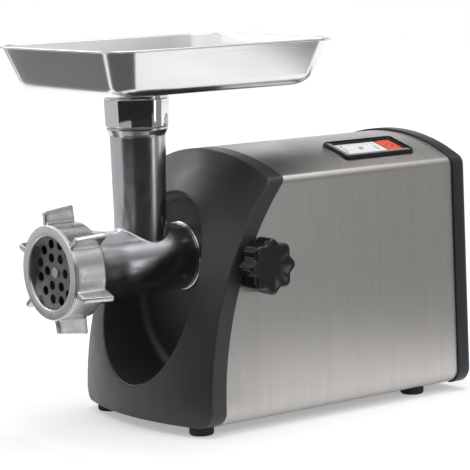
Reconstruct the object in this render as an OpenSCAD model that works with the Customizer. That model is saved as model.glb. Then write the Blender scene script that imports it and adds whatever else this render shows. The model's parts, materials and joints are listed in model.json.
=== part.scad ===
// Electric meat grinder: motor body, gear train, grinding head, ring nut and food tray.
// Every module below draws in the machine frame: X = 0 is the middle of the body,
// Y = 0 is the mouth of the head socket (-Y is the front) and Z = 0 is the table.
// place() then moves the whole machine so that the origin is the middle of its footprint.

/* [Body] */
// Width of the body near its base
body_base_w = 172; // [160:1:184]
// Width of the body at the shoulder bend
body_shoulder_w = 161; // [150:1:166]
// Height of the shoulder bend above the table
shoulder_h = 196; // [190:1:201]
// Rise of the arched roof from the shoulder bend to its crown
roof_rise = 20; // [14:1:26]
// Clear height under the body, which the feet fill
body_clear_h = 7.5; // [6:0.5:10]
// Radius of the curl at the lower edge of the sides
curl_r = 12; // [9:0.5:14]
// Radius of the shoulder bend
shoulder_r = 8; // [6:0.5:11]
// Y of the rear edge of the steel wrap
wrap_rear_y = 224.5; // [218:0.5:232]
// Thickness of the steel wrap
wrap_t = 0.8; // [0.6:0.1:1.2]
// Wall thickness of the plastic covers
cover_t = 2.8; // [2.4:0.1:3.4]
// Depth of the band of the front cover beside the steel
band_d = 14.5; // [12:0.5:17]
// Depth of the rear cover behind the steel
rear_cover_d = 14.5; // [12:0.5:18]
// How far the rear cover stands proud of the steel
rear_proud = 1.6; // [1:0.1:2.4]
// Thickness of the base plate
base_t = 3; // [2.5:0.1:4]
// Clearance between pieces that are assembled face to face
seat_gap = 0.15; // [0.1:0.05:0.3]
// Clearance between pieces that move past each other
move_gap = 0.35; // [0.3:0.05:0.5]
// Radial clearance of a running fit
run_gap = 0.06; // [0.03:0.01:0.09]

/* [Front face] */
// Y of the front-most point of the body at the table
front_y = -53; // [-58:0.5:-50]
// Plan radius of the bulged front at the table
bulge_r = 220; // [205:1:240]
// Radius by which the front leans back with height
lean_r = 291; // [280:1:310]
// Height at which the front starts to lean
lean_h = 15.5; // [10:0.5:20]
// Width of the oval recess
recess_w = 116; // [110:1:120]
// Height of the oval recess
recess_l = 150; // [142:1:154]
// How far the middle of the oval recess lies below the grinding axis
recess_drop = 23; // [21:0.5:26]
// Y of the floor of the recess
recess_y = 3.5; // [2.5:0.5:4.5]

/* [Feet] */
// Radius of a foot
foot_r = 9.8; // [8:0.1:11]
// Distance between the feet across the body
foot_pitch_x = 126; // [116:1:130]
// Y of the front feet
foot_front_y = -29; // [-31:0.5:-22]
// Y of the rear feet
foot_rear_y = 193; // [180:1:198]

/* [Head] */
// Height of the grinding axis above the table
axis_h = 131.5; // [130:0.5:133]
// Outer radius of the barrel
barrel_r = 26.8; // [26.5:0.1:27.4]
// Bore radius of the barrel
barrel_bore_r = 22.6; // [22:0.1:23.2]
// Radius of the tail that seats in the socket
tail_r = 25.4; // [25:0.1:25.8]
// Length of the tail
tail_l = 34; // [32:0.5:36]
// Y of the front end of the barrel
bell_front_y = -117.3; // [-119:0.1:-116]
// Outer radius of the threaded bell
bell_r = 33.4; // [33:0.1:34]
// Radius of the bell's collar behind the ring nut
bell_neck_r = 31; // [29:0.5:32]
// Y of the axis of the feed tube
tube_y = -37; // [-40:0.5:-34]
// Outer radius of the feed tube at its top
tube_top_r = 22.1; // [21.8:0.1:22.4]
// Outer radius of the feed tube at the barrel
tube_low_r = 20.7; // [20.4:0.1:21.4]
// Bore radius of the feed tube
throat_r = 18; // [17:0.1:18.6]
// Height of the shoulder of the feed tube above the table
tube_top_h = 239; // [234:0.5:244]
// Radius of the shoulder of the feed tube
tube_flare_r = 24.4; // [23.8:0.1:25]
// Length of the flare under that shoulder
tube_flare_l = 6; // [4:0.5:9]
// Height of the spigot above that shoulder
spigot_l = 14; // [12:0.5:16]

/* [Ring nut and cutters] */
// Outer radius of the ring nut
nut_r = 37.2; // [36.8:0.1:38]
// Length of the ring nut
nut_l = 28.7; // [27:0.1:30]
// Radius of the opening of the ring nut
nut_mouth_r = 28.6; // [28:0.1:29.2]
// Depth of the lip of the ring nut
nut_lip_d = 7; // [6:0.1:8]
// Height of the wings at the front of the ring nut
wing_front_h = 10.4; // [9:0.2:12]
// Height of the wings at the rear of the ring nut
wing_rear_h = 13.2; // [11:0.2:14]
// Thickness of a wing
wing_t = 4.6; // [4:0.1:6]
// Angle by which the wings are turned at rest
wing_turn = 9; // [0:1:59]
// Pitch of the ring nut's thread
nut_pitch = 3; // [2:0.25:4]
// Radius of the cutting plate
plate_r = 31; // [30.8:0.1:31.2]
// How far the cutting plate stands proud of the barrel's mouth
plate_proud = 0.6; // [0.4:0.1:1]
// Thickness of the cutting plate
plate_t = 5; // [4.6:0.1:5.4]
// Radius of the holes in the cutting plate
plate_hole_r = 3.7; // [2.5:0.1:3.9]
// Radius of the inner ring of holes
plate_inner_r = 12.4; // [12:0.1:13]
// Radius of the outer ring of holes
plate_outer_r = 22.4; // [22:0.1:23]
// Radius of the front stud of the auger
stud_r = 4; // [3.6:0.1:4.4]
// Thickness of the knife
knife_t = 7.5; // [7:0.1:8]
// Radius swept by the knife
knife_r = 28; // [26:0.5:28.5]
// Core radius of the auger
auger_core_r = 8; // [7:0.5:10]
// Pitch of the auger's flight
auger_pitch = 30; // [26:1:36]
// Radius of the auger's rear shank
shank_r = 6; // [5.5:0.1:6.5]
// Corner radius of the hexagon of the drive coupling
hex_r = 9; // [8:0.1:9.5]

/* [Tray] */
// Width of the tray over its rim
tray_w = 174; // [166:1:182]
// Y of the front edge of the tray's rim
tray_front_y = -118; // [-122:0.5:-112]
// Y of the rear edge of the tray's rim
tray_rear_y = 102.5; // [96:0.5:108]
// Height of the underside of the tray above the shoulder of the feed tube
tray_stand = 28; // [26.5:0.5:31]
// Depth of the tray from its rim to its underside
tray_d = 37; // [32:0.5:44]
// Thickness of the tray's sheet
tray_t = 1.2; // [1:0.1:1.6]
// Width of the tray's rim
tray_rim_w = 3.6; // [2.5:0.1:4.5]
// How far each wall leans in from the rim to the bend
tray_lean = 9.2; // [8:0.2:11]
// Radius of the bend between the walls and the floor
tray_bend = 15; // [10:0.5:18]
// Radius of the tray's corners
tray_corner_r = 21.5; // [18:0.5:25]
// Radius of the neck ring at its top
neck_top_r = 26.1; // [25.8:0.1:26.6]
// Radius of the neck ring at its foot
neck_low_r = 25.3; // [25:0.1:25.6]

/* [Lock knob] */
// Y of the lock bolt
lock_y = 15.5; // [15:0.1:16.5]
// Radius of the knob over its lobes
knob_r = 22.3; // [20:0.1:24]
// Depth of the knob
knob_d = 17; // [14:0.5:19]
// Number of lobes on the knob
knob_lobes = 8; // [6:1:10]
// Distance from the body's middle to the knob's face
knob_face_x = 102.8; // [101:0.1:106]
// Radius of the lock bolt
bolt_r = 5; // [4.6:0.1:5.2]
// Pitch of the lock bolt's thread
bolt_pitch = 1.25; // [1:0.05:1.5]

/* [Control panel] */
// X of the middle of the panel on the roof
panel_x = 50; // [46:0.5:52]
// Y of the middle of the panel
panel_y = 160; // [150:1:166]
// Length of the panel's bezel
bezel_l = 75; // [73:0.5:80]
// Width of the panel's bezel
bezel_w = 34; // [33:0.5:38]
// Height of the bezel above the roof
bezel_h = 2.6; // [2:0.1:3.5]
// Length of the rocker
rocker_l = 45; // [42:0.5:46]
// Width of the rocker and of the reverse key
key_w = 22; // [20:0.5:23]
// Length of the reverse key
key_l = 15.5; // [14:0.5:16]
// Travel of the reverse key
key_travel = 2; // [1.5:0.1:2.5]
// Depth of the switch housing under the roof
housing_d = 18; // [16:0.5:20]

/* [Drive train] */
// Height of the motor axis above the table
motor_h = 64; // [62:0.5:66]
// Teeth of the motor pinion
motor_teeth = 10; // [9:1:12]
// Teeth of the first large gear
gear_a_teeth = 44; // [42:1:45]
// Teeth of the small gear on the first shaft
pinion_a_teeth = 11; // [11:1:12]
// Teeth of the second large gear
gear_b_teeth = 35; // [34:1:36]
// Teeth of the small gear on the second shaft
pinion_b_teeth = 11; // [11:1:12]
// Teeth of the output gear
output_teeth = 34; // [33:1:35]
// Module of the first pair of gears
module_1 = 1.25; // [1.2:0.05:1.3]
// Module of the second pair of gears
module_2 = 1.5; // [1.45:0.05:1.55]
// Module of the third pair of gears
module_3 = 2; // [1.95:0.05:2.05]
// Angle at which the second shaft hangs below the output shaft
shaft_b_angle = 48; // [44:1:52]
// Radius of the fixed gear pins
pin_r = 5; // [4.5:0.1:5]
// Y of the front of the gear case
case_front_y = 42; // [41:0.5:43]
// Thickness of the gear case walls
case_t = 4; // [3.5:0.1:4.5]
// Radius of the stator
stator_r = 42; // [40:0.5:44]
// Length of the stator's stack of laminations
stack_l = 50; // [44:1:54]
// Radius of the rotor's stack
rotor_r = 24; // [22:0.5:26]
// Radius of the motor shaft
shaft_r = 4; // [3.6:0.1:4.4]
// Radius of the commutator
commutator_r = 13; // [12:0.5:15]
// Radius of the cooling fan
fan_r = 34; // [32:0.5:36]
// Bore radius of the cord gland
cord_bore_r = 3.6; // [3.2:0.1:4]

/* [Hidden] */
$fn = 96;
eps = 0.01;

// body section
half_base = body_base_w / 2;
half_shoulder = body_shoulder_w / 2;
taper = (half_base - half_shoulder) / (shoulder_h - body_clear_h);
crown_h = shoulder_h + roof_rise;
arch_r = (half_shoulder * half_shoulder + roof_rise * roof_rise) / (2 * roof_rise);
arch_z = crown_h - arch_r;
rear_y = wrap_rear_y + rear_cover_d;
function half_at(z) = half_base - taper * (z - body_clear_h);
// The curls and the shoulder bends touch the leaning sides and the arch, and reach past them
// by a hair, so that each pair of curves crosses at one clear point.
curve_lap = 0.02;
side_lean = atan(taper);
side_reach = half_base * cos(side_lean) + body_clear_h * sin(side_lean);
function side_x(z, inset) = (side_reach - inset) / cos(side_lean) - z * taper;
curl_at = [side_x(body_clear_h + curl_r, curl_r), body_clear_h + curl_r];
bend_span = side_x(arch_z, shoulder_r);
bend_rise = (bend_span * taper + sqrt(pow(bend_span * taper, 2)
    - (1 + taper * taper) * (bend_span * bend_span - pow(arch_r - shoulder_r, 2)))) / (1 + taper * taper);
bend_at = [bend_span - bend_rise * taper, arch_z + bend_rise];
arch_dir = atan2(bend_rise, bend_at[0]);

// front face: a barrel turned about an upright axis behind the front
plan_axis_y = front_y + bulge_r;
function front_radius(z) = z <= lean_h ? bulge_r
    : bulge_r - lean_r + sqrt(lean_r * lean_r - (z - lean_h) * (z - lean_h));

// the oval recess, and a length that reaches right through the machine
recess_h = axis_h - recess_drop;
through = 300;

// head
plate_front_y = bell_front_y - plate_proud;
nut_front_y = plate_front_y - nut_lip_d;
nut_rear_y = nut_front_y + nut_l;
plate_rear_y = plate_front_y + plate_t;
knife_front_y = plate_rear_y + move_gap;
knife_rear_y = knife_front_y + knife_t;
bell_floor_y = knife_rear_y + move_gap;
bore_rear_y = -4;
washer_t = 2;
flight_rear_y = bore_rear_y - washer_t - 2 * move_gap;
flight_r = barrel_bore_r - 0.5;
knife_square = 11;
keyway_w = 2 * bolt_r + 1.2;
keyway_x = tail_r - 4;
sleeve_bore_r = tail_r + run_gap;
sleeve_r = sleeve_bore_r + 2.7;
sleeve_flange_r = sleeve_r + 5.84;
sleeve_rear_y = case_front_y;
coupling_front_y = tail_l + move_gap;
coupling_flange_t = 1.6;
coupling_rear_y = coupling_front_y + 14;
hub_front_y = coupling_front_y + coupling_flange_t + move_gap;
hub_r = 14;
socket_rear_y = coupling_rear_y + 5;

// gears: planes from front to rear, and shaft centres in the XZ plane
plane_3 = case_front_y + case_t + 5;
width_3 = 12;
plane_2 = plane_3 + width_3 + 2;
width_2 = 10;
plane_1 = plane_2 + width_2 + 2;
width_1 = 8;
case_cavity_rear_y = plane_1 + width_1 + 4;
case_rear_y = case_cavity_rear_y + case_t;
case_split_y = plane_2;
addendum = 0.8;
dedendum = 1.05;
pressure = 25;
backlash = 0.12;
spread_1 = module_1 * (motor_teeth + gear_a_teeth) / 2;
spread_2 = module_2 * (pinion_a_teeth + gear_b_teeth) / 2;
spread_3 = module_3 * (pinion_b_teeth + output_teeth) / 2;
output_at = [0, axis_h];
motor_at = [0, motor_h];
shaft_b_at = output_at + spread_3 * [cos(shaft_b_angle), -sin(shaft_b_angle)];
// the first shaft lies where a circle round the second shaft meets one round the motor
span_bm = norm(motor_at - shaft_b_at);
along_bm = (spread_2 * spread_2 - spread_1 * spread_1 + span_bm * span_bm) / (2 * span_bm);
unit_bm = (motor_at - shaft_b_at) / span_bm;
aside_bm = sqrt(spread_2 * spread_2 - along_bm * along_bm);
shaft_a_at = shaft_b_at + along_bm * unit_bm + aside_bm * [-unit_bm[1], unit_bm[0]];
function bearing_to(p, q) = atan2(q[1] - p[1], q[0] - p[0]);

// four screws join the front cover's recess floor to posts on the gear case
cover_screw_spots = [for (a = [45:90:315]) output_at + 42 * [cos(a), sin(a)]];

// motor, from front to rear
frame_t = 5;
frame_vent_r = 7;
frame_vent_ring_r = 24;
frame_post_r = 3;
frame_post_at = [22, 34];
motor_front_y = case_rear_y + 2;
fan_front_y = motor_front_y + frame_t + 3;
fan_w = 11;
coil_l = 12;
winding_gap = 0.6;
stator_front_y = fan_front_y + fan_w + coil_l + 2;
stator_rear_y = stator_front_y + stack_l;
air_gap = 0.6;
commutator_front_y = stator_rear_y + coil_l + 2;
commutator_l = 16;
motor_rear_y = commutator_front_y + commutator_l + 6 + frame_t;
cradle_rib_w = 8;
bearing_r = 11;
bearing_w = 7;
fan_hub_r = 9;
fan_blade_gap = 6;
brush_end_x = 30;

// cord gland: its middle in the XZ plane, and the radius of its neck
gland_at = [-52, 32];
gland_r = 8;

// knob and bolt
knob_rear_x = knob_face_x - knob_d;
lock_wall_x = half_at(axis_h);
washer_r = 13;
lock_bush_r = 7.5;

// control panel: local frame on the roof, leaning with the arch
panel_tilt = asin(panel_x / arch_r);
panel_z = arch_z + arch_r * cos(panel_tilt);
pocket_l = rocker_l + key_l + 1.8;
pocket_w = key_w + 1;
key_gap = 0.6;
rocker_pivot_z = -4;
housing_wall = 1.6;

// tray
tray_floor_h = tube_top_h + tray_stand;
tray_rim_h = tray_floor_h + tray_d;
tray_mid_y = (tray_front_y + tray_rear_y) / 2;
tray_len = tray_rear_y - tray_front_y;
tray_corner_fade = 0.4;

// footprint of the machine
span_left_x = -max(curl_at[0] + curl_r + curve_lap + rear_proud, tray_w / 2);
span_right_x = knob_face_x;
span_front_y = nut_front_y;
span_rear_y = rear_y;
module place() {
    translate([-(span_left_x + span_right_x) / 2, -(span_front_y + span_rear_y) / 2, 0]) children();
}

// ---- drawing helpers ----
module along_y(y0, y1) {
    translate([0, y1, 0]) rotate([90, 0, 0]) linear_extrude(y1 - y0) children();
}
module rod_y(x, z, r, y0, y1) {
    translate([x, y1, z]) rotate([90, 0, 0]) cylinder(r = r, h = y1 - y0);
}
module cone_y(r0, r1, y0, y1) {
    translate([0, y0, axis_h]) rotate([-90, 0, 0]) cylinder(r1 = r0, r2 = r1, h = y1 - y0);
}
module rod_x(y, z, r, x0, x1) {
    translate([x0, y, z]) rotate([0, 90, 0]) cylinder(r = r, h = x1 - x0);
}
module disc_at(p, r) {
    translate(p) circle(r);
}
module box(x0, x1, y0, y1, z0, z1) {
    translate([x0, y0, z0]) cube([x1 - x0, y1 - y0, z1 - z0]);
}

// Section of the body, drawn inset (or proud, when negative) from its outer skin.
module body_section(inset) {
    bend = shoulder_r - inset + curve_lap;
    curl = curl_r - inset + curve_lap;
    foot = curl_at + (curl_r - inset) * [cos(side_lean), sin(side_lean)];
    top_z = crown_h + 20;
    top_x = side_x(top_z, inset);
    far = 60;
    difference() {
        intersection() {
            disc_at([0, arch_z], arch_r - inset);
            polygon([[-foot[0], foot[1]], [-curl_at[0], body_clear_h + inset],
                [curl_at[0], body_clear_h + inset], foot, [top_x, top_z], [-top_x, top_z]]);
        }
        for (s = [-1, 1]) scale([s, 1]) translate(bend_at) polygon([
            [0, 0],
            far * [cos(side_lean), sin(side_lean)],
            far * [1, 1],
            far * [cos(arch_dir), sin(arch_dir)]]);
    }
    for (s = [-1, 1]) disc_at([s * bend_at[0], bend_at[1]], bend);
    for (s = [-1, 1]) disc_at([s * curl_at[0], curl_at[1]], curl);
}
// Everything behind the bulged front, moved back by shift and thinned by inset.
module behind_front(shift, inset) {
    steps = 14;
    top = crown_h + 6;
    translate([0, plan_axis_y + shift, 0]) rotate_extrude($fn = 180)
        polygon(concat([[0, 0], [bulge_r - inset, 0]],
            [for (i = [0:steps]) let (z = lean_h + (top - lean_h) * i / steps) [front_radius(z) - inset, z]],
            [[0, top]]));
}
module recess_outline(grow) {
    translate([0, recess_h]) polygon([for (a = [0:7.5:359])
        [(recess_w / 2 + grow) * cos(a), (recess_l / 2 + grow) * sin(a)]]);
}
module corner_spots(pitch_x, y0, y1) {
    for (x = [-1, 1], y = [y0, y1]) translate([x * pitch_x / 2, y, 0]) children();
}

// ---- body shell ----
module front_shell() {
    difference() {
        intersection() {
            along_y(front_y - 10, 90) body_section(0);
            behind_front(0, 0);
        }
        intersection() {
            along_y(front_y - 10, 100) body_section(cover_t);
            behind_front(0, cover_t);
        }
        intersection() {
            box(-curl_at[0], curl_at[0], front_y, 100, 0, 20);
            behind_front(0, cover_t);
        }
        behind_front(band_d, 0);
    }
}
// the tub behind the oval recess, buried a little in the front wall
module recess_tub() {
    intersection() {
        along_y(front_y, recess_y + cover_t) recess_outline(cover_t);
        behind_front(0, cover_t / 2);
    }
}
// the lip that reaches under the steel
module front_lip() {
    outer = wrap_t + seat_gap;
    intersection() {
        along_y(front_y, 90) difference() {
            body_section(outer);
            body_section(outer + 1.6);
            translate([0, 10]) square([body_base_w, 2 * curl_r], center = true);
        }
        difference() {
            behind_front(band_d - 4, 0);
            behind_front(band_d + 3, 0);
        }
    }
}
module front_cover() {
    color("#2b2b30") difference() {
        union() {
            front_shell();
            recess_tub();
            front_lip();
        }
        along_y(front_y - 20, recess_y) recess_outline(0);
        rod_y(0, axis_h, sleeve_r + seat_gap, -60, 60);
        for (p = cover_screw_spots) rod_y(p[0], p[1], 1.8, 0, 20);
    }
}
module socket_sleeve() {
    color("#c9cbcd") difference() {
        union() {
            rod_y(0, axis_h, sleeve_r, 0.6, sleeve_rear_y);
            rod_y(0, axis_h, sleeve_r - 0.6, 0, 1);
            rod_y(0, axis_h, sleeve_flange_r, recess_y + cover_t + seat_gap, recess_y + cover_t + 1.4);
        }
        rod_y(0, axis_h, sleeve_bore_r, -1, sleeve_rear_y + 1);
        rod_x(lock_y, axis_h, bolt_r + move_gap, 0, 60);
    }
}
module steel_wrap() {
    color("#a9a7a3") difference() {
        intersection() {
            along_y(front_y, wrap_rear_y) difference() {
                body_section(0);
                body_section(wrap_t);
                translate([0, body_clear_h]) square([2 * (half_base - curl_r), 2 * curl_r], center = true);
            }
            behind_front(band_d + seat_gap, 0);
        }
        rod_x(lock_y, axis_h, bolt_r + 1, 0, 100);
        on_panel() box(-pocket_w / 2 - 2.2, pocket_w / 2 + 2.2,
            -pocket_l / 2 - 2.2, pocket_l / 2 + 2.2, -9, 9);
    }
}
module rear_cover() {
    color("#1d1d20") difference() {
        union() {
            along_y(wrap_rear_y + seat_gap, rear_y - 4) body_section(-rear_proud);
            hull() {
                along_y(rear_y - 5, rear_y - 4) body_section(-rear_proud);
                along_y(rear_y - 1, rear_y) body_section(2.5 - rear_proud);
            }
            along_y(wrap_rear_y - 6, wrap_rear_y + 3) body_section(wrap_t + seat_gap);
        }
        along_y(wrap_rear_y - 10, rear_y - cover_t) body_section(wrap_t + seat_gap + 1.8);
        box(-half_base + curl_r, half_base - curl_r, wrap_rear_y - 10, rear_y - cover_t, 0, 20);
        for (k = [0:6]) box(-36, 36, rear_y - 10, rear_y + 1, 70 + 9 * k, 73 + 9 * k);
        rod_y(gland_at[0], gland_at[1], gland_r + seat_gap, rear_y - 10, rear_y + 1);
        corner_spots(foot_pitch_x, rear_y - 9, rear_y - 9) cylinder(r = 1.8, h = 20);
    }
}
module base_outline() {
    translate([-(half_base - curl_r) + 0.5, front_y]) square([2 * (half_base - curl_r) - 1,
        rear_y - cover_t - seat_gap - front_y]);
}
module base_plate() {
    base_z = body_clear_h - 0.7;
    color("#1d1d20") difference() {
        union() {
            intersection() {
                translate([0, 0, base_z]) linear_extrude(base_t) base_outline();
                behind_front(0, cover_t + 0.4);
            }
            corner_spots(foot_pitch_x, foot_front_y, foot_rear_y) translate([0, 0, base_z])
                cylinder(r = 5, h = base_t + 9);
        }
        corner_spots(foot_pitch_x, foot_front_y, foot_rear_y) cylinder(r = 2.1, h = base_z + base_t + 8);
        for (y = [60:8:180]) box(-40, 40, y, y + 3, 0, 20);
    }
}
module feet() {
    base_z = body_clear_h - 0.7;
    color("#151515") corner_spots(foot_pitch_x, foot_front_y, foot_rear_y) difference() {
        union() {
            cylinder(r1 = foot_r - 1, r2 = foot_r, h = 1.2);
            translate([0, 0, 1.2]) cylinder(r = foot_r, h = base_z - 1.2);
        }
        translate([0, 0, -1]) cylinder(r = 4.2, h = 3.5);
        translate([0, 0, -1]) cylinder(r = 2.1, h = 20);
    }
}
module foot_screws() {
    color("#8d9094") corner_spots(foot_pitch_x, foot_front_y, foot_rear_y) {
        translate([0, 0, 1]) cylinder(r = 3.9, h = 1.5);
        translate([0, 0, 2]) cylinder(r = 2, h = body_clear_h + base_t + 3);
    }
}
module cover_screws() {
    color("#8d9094") for (p = cover_screw_spots) {
        rod_y(p[0], p[1], 1.7, recess_y - 1.4, recess_y + cover_t + 12);
        rod_y(p[0], p[1], 3.2, recess_y - 1.6, recess_y);
    }
}

// ---- control panel ----
// local X runs down the roof, local Y along the machine, local Z out of the roof
module on_panel() {
    translate([panel_x, panel_y, panel_z]) rotate([0, panel_tilt, 0]) children();
}
rocker_y = -pocket_l / 2 + key_gap / 2 + rocker_l / 2 + 0.15;
key_y = pocket_l / 2 - key_gap / 2 - key_l / 2 - 0.15;
module rounded_plate(l, w, r, h) {
    hull() for (x = [-1, 1], y = [-1, 1])
        translate([x * (w / 2 - r), y * (l / 2 - r), 0]) cylinder(r = r, h = h, $fn = 32);
}
module switch_bezel() {
    color("#161618") on_panel() difference() {
        hull() {
            translate([0, 0, -1.2]) rounded_plate(bezel_l, bezel_w, 4, 2);
            translate([0, 0, bezel_h - 1]) rounded_plate(bezel_l - 2, bezel_w - 2, 3.4, 1);
        }
        box(-pocket_w / 2, pocket_w / 2, -pocket_l / 2, pocket_l / 2, -9, 9);
        translate([0, 200, -arch_r]) rotate([90, 0, 0]) cylinder(r = arch_r + seat_gap, h = 400, $fn = 240);
    }
}
module switch_housing() {
    wall = housing_wall;
    color("#202024") on_panel() difference() {
        box(-pocket_w / 2 - wall, pocket_w / 2 + wall,
            -pocket_l / 2 - wall, pocket_l / 2 + wall, -housing_d, -0.8);
        box(-pocket_w / 2, pocket_w / 2, -pocket_l / 2, pocket_l / 2, -housing_d + wall, 5);
        rod_x(rocker_y, rocker_pivot_z, 1.5 + run_gap, -30, 30);
    }
}
module rocker() {
    half_w = key_w / 2;
    color("#f2f2f0") on_panel() {
        translate([-half_w, 0, 0]) rotate([90, 0, 90]) linear_extrude(key_w) polygon([
            [rocker_y - rocker_l / 2, bezel_h - 1.6], [rocker_y - rocker_l / 2, -2.5],
            [rocker_y - 6, -8], [rocker_y + 6, -8], [rocker_y + rocker_l / 2, -2.5],
            [rocker_y + rocker_l / 2, bezel_h - 1.6], [rocker_y, bezel_h - 1.2]]);
        rod_x(rocker_y, rocker_pivot_z, 1.5, -half_w - housing_wall, half_w + housing_wall);
    }
}
module reverse_key() {
    color("#e0402c") on_panel() {
        box(-key_w / 2, key_w / 2, key_y - key_l / 2, key_y + key_l / 2, -3.5, bezel_h - 1.2);
        translate([0, key_y, -7]) cylinder(r = 3, h = 4);
    }
}
module key_switch() {
    color("#2c5f8a") on_panel()
        box(-6, 6, key_y - 6, key_y + 6, -housing_d + housing_wall, -7 - key_travel - move_gap);
}
module control_board() {
    color("#2e6b3a") on_panel() {
        box(-16, 16, -pocket_l / 2 - 1, pocket_l / 2 + 1, -housing_d - 1.8, -housing_d - 0.1);
        box(-10, 8, -24, -6, -housing_d - 12, -housing_d - 1.8);
        for (y = [4, 16]) translate([2, y, -housing_d - 14]) cylinder(r = 4.5, h = 12.5);
    }
}

// ---- gears ----
// A spur gear with stub involute teeth; one tooth points along turn.
function involute(base, t) = base * [cos(t) + t * PI / 180 * sin(t), sin(t) - t * PI / 180 * cos(t)];
function roll_angle(base, r) = r <= base ? 0 : sqrt(pow(r / base, 2) - 1) * 180 / PI;
function spin(p, a) = [p[0] * cos(a) - p[1] * sin(a), p[0] * sin(a) + p[1] * cos(a)];
module gear_outline(mod, teeth, turn) {
    pitch = mod * teeth / 2;
    base = pitch * cos(pressure);
    tip = pitch + addendum * mod;
    root = pitch - dedendum * mod;
    start = max(base, root);
    half = 90 / teeth - backlash * mod / pitch * 90 / PI;
    lead = roll_angle(base, pitch) - pressure;
    flank = [for (i = [0:3]) let (t = roll_angle(base, start + (tip - start) * i / 3)) involute(base, t)];
    polygon([for (k = [0:teeth - 1]) let (mid = turn + k * 360 / teeth) each concat(
        root < base ? [spin([root, 0], mid - half - lead)] : [],
        [for (p = flank) spin(p, mid - half - lead)],
        [for (i = [3:-1:0]) let (p = flank[i]) spin([p[0], -p[1]], mid + half + lead)],
        root < base ? [spin([root, 0], mid + half + lead)] : [])]);
}
module gear_at(p, mod, teeth, turn, y0, w) {
    along_y(y0, y0 + w) translate(p) gear_outline(mod, teeth, turn);
}
turn_m = bearing_to(motor_at, shaft_a_at);
turn_a = bearing_to(shaft_a_at, shaft_b_at);
turn_b = bearing_to(shaft_b_at, output_at);

module motor_pinion() {
    color("#9a9da1") difference() {
        gear_at(motor_at, module_1, motor_teeth, turn_m, plane_1 - 1, width_1 + 2);
        rod_y(motor_at[0], motor_at[1], shaft_r * 0.75, 0, through);
    }
}
module compound_gear(p, big_mod, big_teeth, big_turn, big_y, big_w,
        small_mod, small_teeth, small_turn, small_y) {
    difference() {
        union() {
            gear_at(p, big_mod, big_teeth, big_turn, big_y, big_w);
            gear_at(p, small_mod, small_teeth, small_turn, small_y, big_y - small_y + eps);
        }
        rod_y(p[0], p[1], pin_r * 0.6 + run_gap, 0, through);
    }
}
module gear_a() {
    color("#e7e0cd") compound_gear(shaft_a_at, module_1, gear_a_teeth, turn_m + 180 + 180 / gear_a_teeth,
        plane_1, width_1, module_2, pinion_a_teeth, turn_a, plane_2);
}
module gear_b() {
    color("#e7e0cd") compound_gear(shaft_b_at, module_2, gear_b_teeth, turn_a + 180 + 180 / gear_b_teeth,
        plane_2, width_2, module_3, pinion_b_teeth, turn_b, plane_3);
}
module output_gear() {
    color("#8f9296") difference() {
        gear_at(output_at, module_3, output_teeth, turn_b + 180 + 180 / output_teeth, plane_3, width_3);
        rod_y(0, axis_h, hub_r, 0, through);
    }
}
module output_shaft() {
    color("#b4b7ba") difference() {
        union() {
            rod_y(0, axis_h, hub_r, hub_front_y, plane_3 + width_3 + 1);
            rod_y(0, axis_h, 7, plane_3 + width_3, case_rear_y - 1);
        }
        along_y(hub_front_y - 1, socket_rear_y) translate(output_at)
            circle(hex_r + move_gap + 0.15, $fn = 6);
    }
}
module output_bush() {
    color("#b08d4a") difference() {
        rod_y(0, axis_h, hub_r + 3, case_front_y, case_front_y + case_t + 4);
        rod_y(0, axis_h, hub_r + run_gap, 0, through);
    }
}
module output_rear_bush() {
    color("#b08d4a") difference() {
        rod_y(0, axis_h, 10, case_cavity_rear_y - 4, case_rear_y);
        rod_y(0, axis_h, 7 + run_gap, 0, through);
    }
}
module gear_pins() {
    color("#b4b7ba") for (p = [shaft_a_at, shaft_b_at])
        rod_y(p[0], p[1], pin_r * 0.6, case_front_y + 1, case_rear_y - 1);
}
module case_outline(grow) {
    hull() {
        disc_at(output_at, module_3 * output_teeth / 2 + 4 + grow, $fn = 64);
        disc_at(shaft_b_at, module_2 * gear_b_teeth / 2 + 4 + grow, $fn = 64);
        disc_at(shaft_a_at, module_1 * gear_a_teeth / 2 + 4 + grow, $fn = 64);
        disc_at(motor_at, 16 + grow, $fn = 64);
    }
}
case_screw_spots = [[-30, axis_h + 34], [30, axis_h + 34], [-38, axis_h - 24], [-19, motor_h - 12],
    [shaft_a_at[0] + 28, shaft_a_at[1] - 24]];
module case_holes() {
    for (p = [shaft_a_at, shaft_b_at])
        rod_y(p[0], p[1], pin_r * 0.6 + 0.03, case_front_y + 1, case_rear_y - 1);
}
module gearcase_front() {
    color("#b9bbbd") difference() {
        union() {
            along_y(case_front_y, case_split_y) difference() {
                case_outline(case_t);
                case_outline(0);
            }
            along_y(case_front_y, case_front_y + case_t) case_outline(1);
            for (p = case_screw_spots) rod_y(p[0], p[1], 5, case_front_y, case_split_y);
            for (p = cover_screw_spots)
                rod_y(p[0], p[1], 5, recess_y + cover_t + seat_gap, case_front_y + 1);
        }
        for (p = cover_screw_spots) rod_y(p[0], p[1], 1.75, 0, case_front_y - 10);
        rod_y(0, axis_h, sleeve_r + move_gap, 0, case_front_y);
        rod_y(0, axis_h, hub_r + 3 + 0.03, 0, through);
        case_holes();
        for (p = case_screw_spots) rod_y(p[0], p[1], 1.9, case_front_y + 3, case_rear_y);
    }
}
module gearcase_rear() {
    color("#b9bbbd") difference() {
        union() {
            along_y(case_split_y + 0.2, case_rear_y) difference() {
                case_outline(case_t);
                case_outline(0);
            }
            along_y(case_cavity_rear_y, case_rear_y) case_outline(1);
            for (p = case_screw_spots) rod_y(p[0], p[1], 5, case_split_y + 0.2, case_rear_y);
        }
        rod_y(0, axis_h, 10.03, 0, through);
        rod_y(motor_at[0], motor_at[1], 8.5, 0, through);
        case_holes();
        for (p = case_screw_spots) rod_y(p[0], p[1], 1.9, case_front_y, through);
    }
}
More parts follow.
